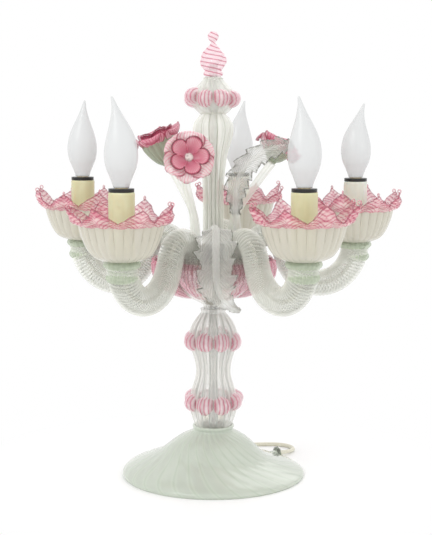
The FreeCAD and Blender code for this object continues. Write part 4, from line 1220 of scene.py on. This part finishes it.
def buildCalyx(deep):
    # the clear ribbed cone that the petals stand on
    reach, rise = calyxSize(calyxShape, deep)
    profile = ((4.6, -3), (5.8, 0), (0.45 * reach + 2, 0.16 * rise), (0.8 * reach, 0.45 * rise),
               (0.97 * reach, 0.75 * rise), (reach, rise))
    calyx = turnedShape("calyx", smoothPoints(profile, 6), 112)
    flute(calyx, 16, 0.5 + deep)
    addWall(calyx, 1.4)
    unwrapAround(calyx, -3, rise)
    calyx.data.uv_layers[0].name = "UVMap"
    return calyx


def deepGlass():
    # dark pink, veined out from the eye, with a dark line round each lobe
    material = glossyGlass("deepPetal", (206, 92, 120))
    place, axes = coordinates(material, "UV")
    vein = maths(material, "MULTIPLY_ADD", noise(material, place, 8, 2), 2.0,
                 maths(material, "MULTIPLY", axes[0], 60))
    line = valleys(material, vein)
    outward = ramp(material, axes[1], (0.0, (226, 180, 186)), (0.16, (206, 98, 126)), (0.5, (228, 138, 158)),
                   (0.85, (238, 178, 188)), (0.93, (216, 118, 142)), (0.95, (138, 30, 62)))
    darker = ramp(material, axes[1], (0.0, (190, 110, 130)), (0.3, (178, 52, 88)), (0.9, (196, 82, 112)),
                  (0.95, (130, 28, 58)))
    share = ramp(material, line, (0.1, (0, 0, 0)), (0.6, (255, 255, 255)))
    colourFrom(material, mixColours(material, share, darker, outward))
    bumpFrom(material, line, 0.3, 0.4)
    seeThrough(material, 0.72, 0.92, line, 0.2, 0.5)
    return material


def petalGlass(name, light, dark, lines, along, front):
    # lines run out along the petal, or round it
    material = glossyGlass(name, light, 0.4)
    place, axes = coordinates(material, "UV")
    phase = maths(material, "MULTIPLY", axes[0 if along else 1], lines)
    phase = maths(material, "MULTIPLY_ADD", noise(material, place, 6, 2), 1.0, phase)
    line = valleys(material, phase)
    striped = ramp(material, line, (0.1, dark), (0.6, light))
    side = maths(material, "ABSOLUTE", maths(material, "SUBTRACT", axes[0], 0.5))
    sides = maths(material, "MULTIPLY", side, 2.0)
    brink = maths(material, "MAXIMUM", axes[1], sides)
    edge = ramp(material, brink, (0.0, (0, 0, 0)), (0.88, (0, 0, 0)), (0.96, (255, 255, 255)))
    colourFrom(material, mixColours(material, edge, striped, paint(176, 62, 92)))
    bumpFrom(material, line, 0.3, 0.4)
    seeThrough(material, front, 0.9, line, 0.3, 0.5)
    return material


def buildFlowers():
    outer = petalGlass("stripedPetal", (250, 216, 220), (216, 122, 144), 10, True, 0.6)
    rich = petalGlass("richPetal", (238, 160, 178), (176, 58, 92), 10, True, 0.66)
    inner = deepGlass()
    # the second colour is painted shade in the rib valleys
    clear = ribbedGlass("stalkGlass", "UV", onMap(8, 0), (252, 253, 242), (170, 180, 156),
                        0.42, 0.72)
    pearl = newMaterial("pearlEye", (206, 190, 186), 0.2, Coat_Weight=0.6)
    place, _ = coordinates(pearl, "Object")
    grain = noise(pearl, place, 300, 2)
    colourFrom(pearl, ramp(pearl, grain, (0.4, (178, 158, 156)), (0.6, (226, 214, 208))))
    for node, info in flowerInfo.items():
        face = Vector(info["face"]).normalized()
        lean = up.rotation_difference(face).to_matrix().to_4x4()
        heart = Matrix.Translation(Vector(info["heart"]) * mm) @ lean
        petals = joinPieces([buildPetal(petalShape, info["petals"], i, node + str(i), info["deep"])
                             for i in range(info["petals"])], node + "_petals")
        petals.data.transform(heart)
        smooth(petals, 50)
        cup = buildInnerCup(innerCup, info["spin"], info["deep"])
        cup.data.transform(heart)
        cup.name = node + "_cup"
        smooth(cup, 50)
        deselectAll()
        bpy.ops.mesh.primitive_uv_sphere_add(segments=28, ring_count=16, radius=5 * mm,
                                             location=(0, 0, 5.5 * mm))
        eye = bpy.context.object
        bpy.ops.object.mode_set(mode="EDIT")
        bpy.ops.transform.resize(value=(1, 1, 0.6))
        bpy.ops.object.mode_set(mode="OBJECT")
        bpy.ops.object.transform_apply(location=True, rotation=False, scale=False)
        eye.data.transform(heart)
        eye.name = node + "_eye"
        smooth(eye, 60)
        calyx = buildCalyx(info["deep"])
        calyx.data.transform(heart)
        stalk = tubeAlong("stalk", info["stalk"], (5.6, 4.6, 4.8, 5.0), 10)
        stem = joinPieces([stalk, calyx], node + "_stalk")
        smooth(stem, 50)
        body = node + "_piece"
        finishPiece(stem, clear, body, "flower_glass", node)
        finishPiece(petals, rich if info["deep"] else outer, body, "flower_glass")
        finishPiece(cup, inner, body, "flower_glass")
        finishPiece(eye, pearl, body, "flower_glass")
        print(node, "opened")


buildFlowers()

leafInfo = {
    "leaf_front": {
        "stalk": ((0, -30, 266.5), (0, -31, 276), (0, -37, 284), (1, -44, 288)),
        "spine": ((1, -42, 288), (3, -55, 287), (3, -70, 274), (3, -82, 254), (4, -86, 236), (8, -87, 221),
                  (17, -87, 211), (29, -88, 204)),
        "half": (8, 20, 26, 21, 24, 17, 8, 2), "across": (1, 0, 0), "bow": 4.0, "teeth": 7,
        "rib": (4.4, 4.6, 4.4, 4.2, 3.8, 3.0, 2.0, 1.2),
    },
    "leaf_right": {
        "stalk": ((28.2, -10.3, 266.5), (28.0, -11, 280), (26, -12, 296), (25, -12, 312)),
        "spine": ((26, -12, 302), (25, -12, 320), (27, -11.5, 338), (36, -10, 356), (54.6, -8, 371),
                  (75, -6, 379), (90, -4, 380)),
        "half": (5, 11, 15, 14, 13, 11, 3), "across": (0.55, -0.12, -0.8), "bow": 2.5, "teeth": 9,
        "rib": (3.8, 3.6, 3.2, 2.8, 2.4, 1.8, 1.0),
    },
}


def buildLeaf(node, info):
    steps = 22
    data = smoothPoints([(*point, half) for point, half in zip(info["spine"], info["half"])], steps)
    last = len(data) - 1
    centres = [Vector(p[:3]) for p in data]
    broad = Vector(info["across"])

    def frameAt(index):
        ahead = (centres[min(index + 1, last)] - centres[max(index - 1, 0)]).normalized()
        across = (broad - ahead * broad.dot(ahead)).normalized()
        return across, ahead.cross(across)

    def place(u, v):
        # a pleated blade with ragged teeth that point up and out
        index = round(v * last)
        across, out = frameAt(index)
        side = 2 * u - 1
        tooth = (v * info["teeth"] + 0.35 * abs(side) + (0.0 if side > 0 else 0.4)) % 1.0
        half = data[index][3] * (1 - 0.34 * tooth * side ** 2)
        pleat = abs(math.sin(math.pi * (v * 24 - 6 * abs(side)))) * 1.6
        ruffle = 2.6 * math.sin(turn * (v * info["teeth"] + 0.3)) * abs(side) ** 1.5
        return centres[index] + across * (side * half) + out * (pleat + ruffle - info["bow"] * side ** 2)

    blade = wrappedGrid(node + "_blade", 40, last, place)
    addWall(blade, 1.5, outside=0.5)
    lifted = []
    for number, point in enumerate(info["spine"]):
        _, out = frameAt(number * steps)
        lifted.append(tuple(Vector(point) + out * 1.6))
    midrib = tubeAlong("midrib", lifted, info["rib"], 10, 20)
    stalk = tubeAlong("stalk", info["stalk"], (5.4, 4.6, 4.4, 4.2), 8)
    leaf = joinPieces([blade, midrib, stalk], node + "_blade")
    smooth(leaf, 50)
    return leaf


def leafGlass():
    # ribs slant up and out from the midrib; past side 0.48 the phase is 0, so the blade's edge takes the
    # dark valley colour as painted shade
    def slanted(material, axes):
        side = maths(material, "ABSOLUTE", maths(material, "SUBTRACT", axes[0], 0.5))
        ribs = maths(material, "MULTIPLY_ADD", axes[1], 24, maths(material, "MULTIPLY", side, -12))
        return maths(material, "MULTIPLY", ribs, maths(material, "LESS_THAN", side, 0.48))
    return ribbedGlass("leafGlass", "UV", slanted, (253, 253, 247), (120, 122, 113),
                       0.3, 0.72, 0.5, 0.5)


leafClear = leafGlass()
for node, info in leafInfo.items():
    finishPiece(buildLeaf(node, info), leafClear, node + "_piece", "leaf_glass", node)
print("leaves bent")


# what stays as it was built: metal, plastic, wires
def plainFinish(name, light, dark, scale, roughness, metal=0.0, stretch=(1, 1, 1)):
    material = newMaterial(name, light, roughness, Metallic=metal)
    place, _ = coordinates(material, "Object")
    grain = noise(material, place, scale, 4, stretch)
    colourFrom(material, ramp(material, grain, (0.3, dark), (0.7, light)))
    roughnessFrom(material, grain, roughness * 0.8, roughness * 1.3)
    bumpFrom(material, grain, 0.15, 0.1)
    return material


def coatNodes():
    finishes = {
        "hub_metal": plainFinish("dullNickel", (150, 148, 142), (112, 110, 104), 240, 0.38, 1.0),
        "rod_metal": plainFinish("brightPlate", (226, 227, 224), (200, 203, 203), 500, 0.4, 0.25,
                                 (1, 1, 0.1)),
        "holder_plastic": plainFinish("blackHolder", (34, 33, 31), (18, 18, 18), 300, 0.3),
        "cap_metal": plainFinish("capBrass", (190, 172, 128), (150, 132, 92), 400, 0.32, 1.0),
        "wire_insulation": plainFinish("twistedWire", (212, 209, 194), (150, 147, 134), 900, 0.5),
        "lead_plastic": leadPlastic,
    }
    slots = {entry["node"]: entry["material_slot"] for entry in frame["record"]["subparts"]}
    for name, node in frame["nodes"].items():
        finish = finishes.get(slots[name])
        if finish:
            node.data.materials.clear()
            node.data.materials.append(finish)
            for face in node.data.polygons:
                face.material_index = 0


coatNodes()
print("finishes set")
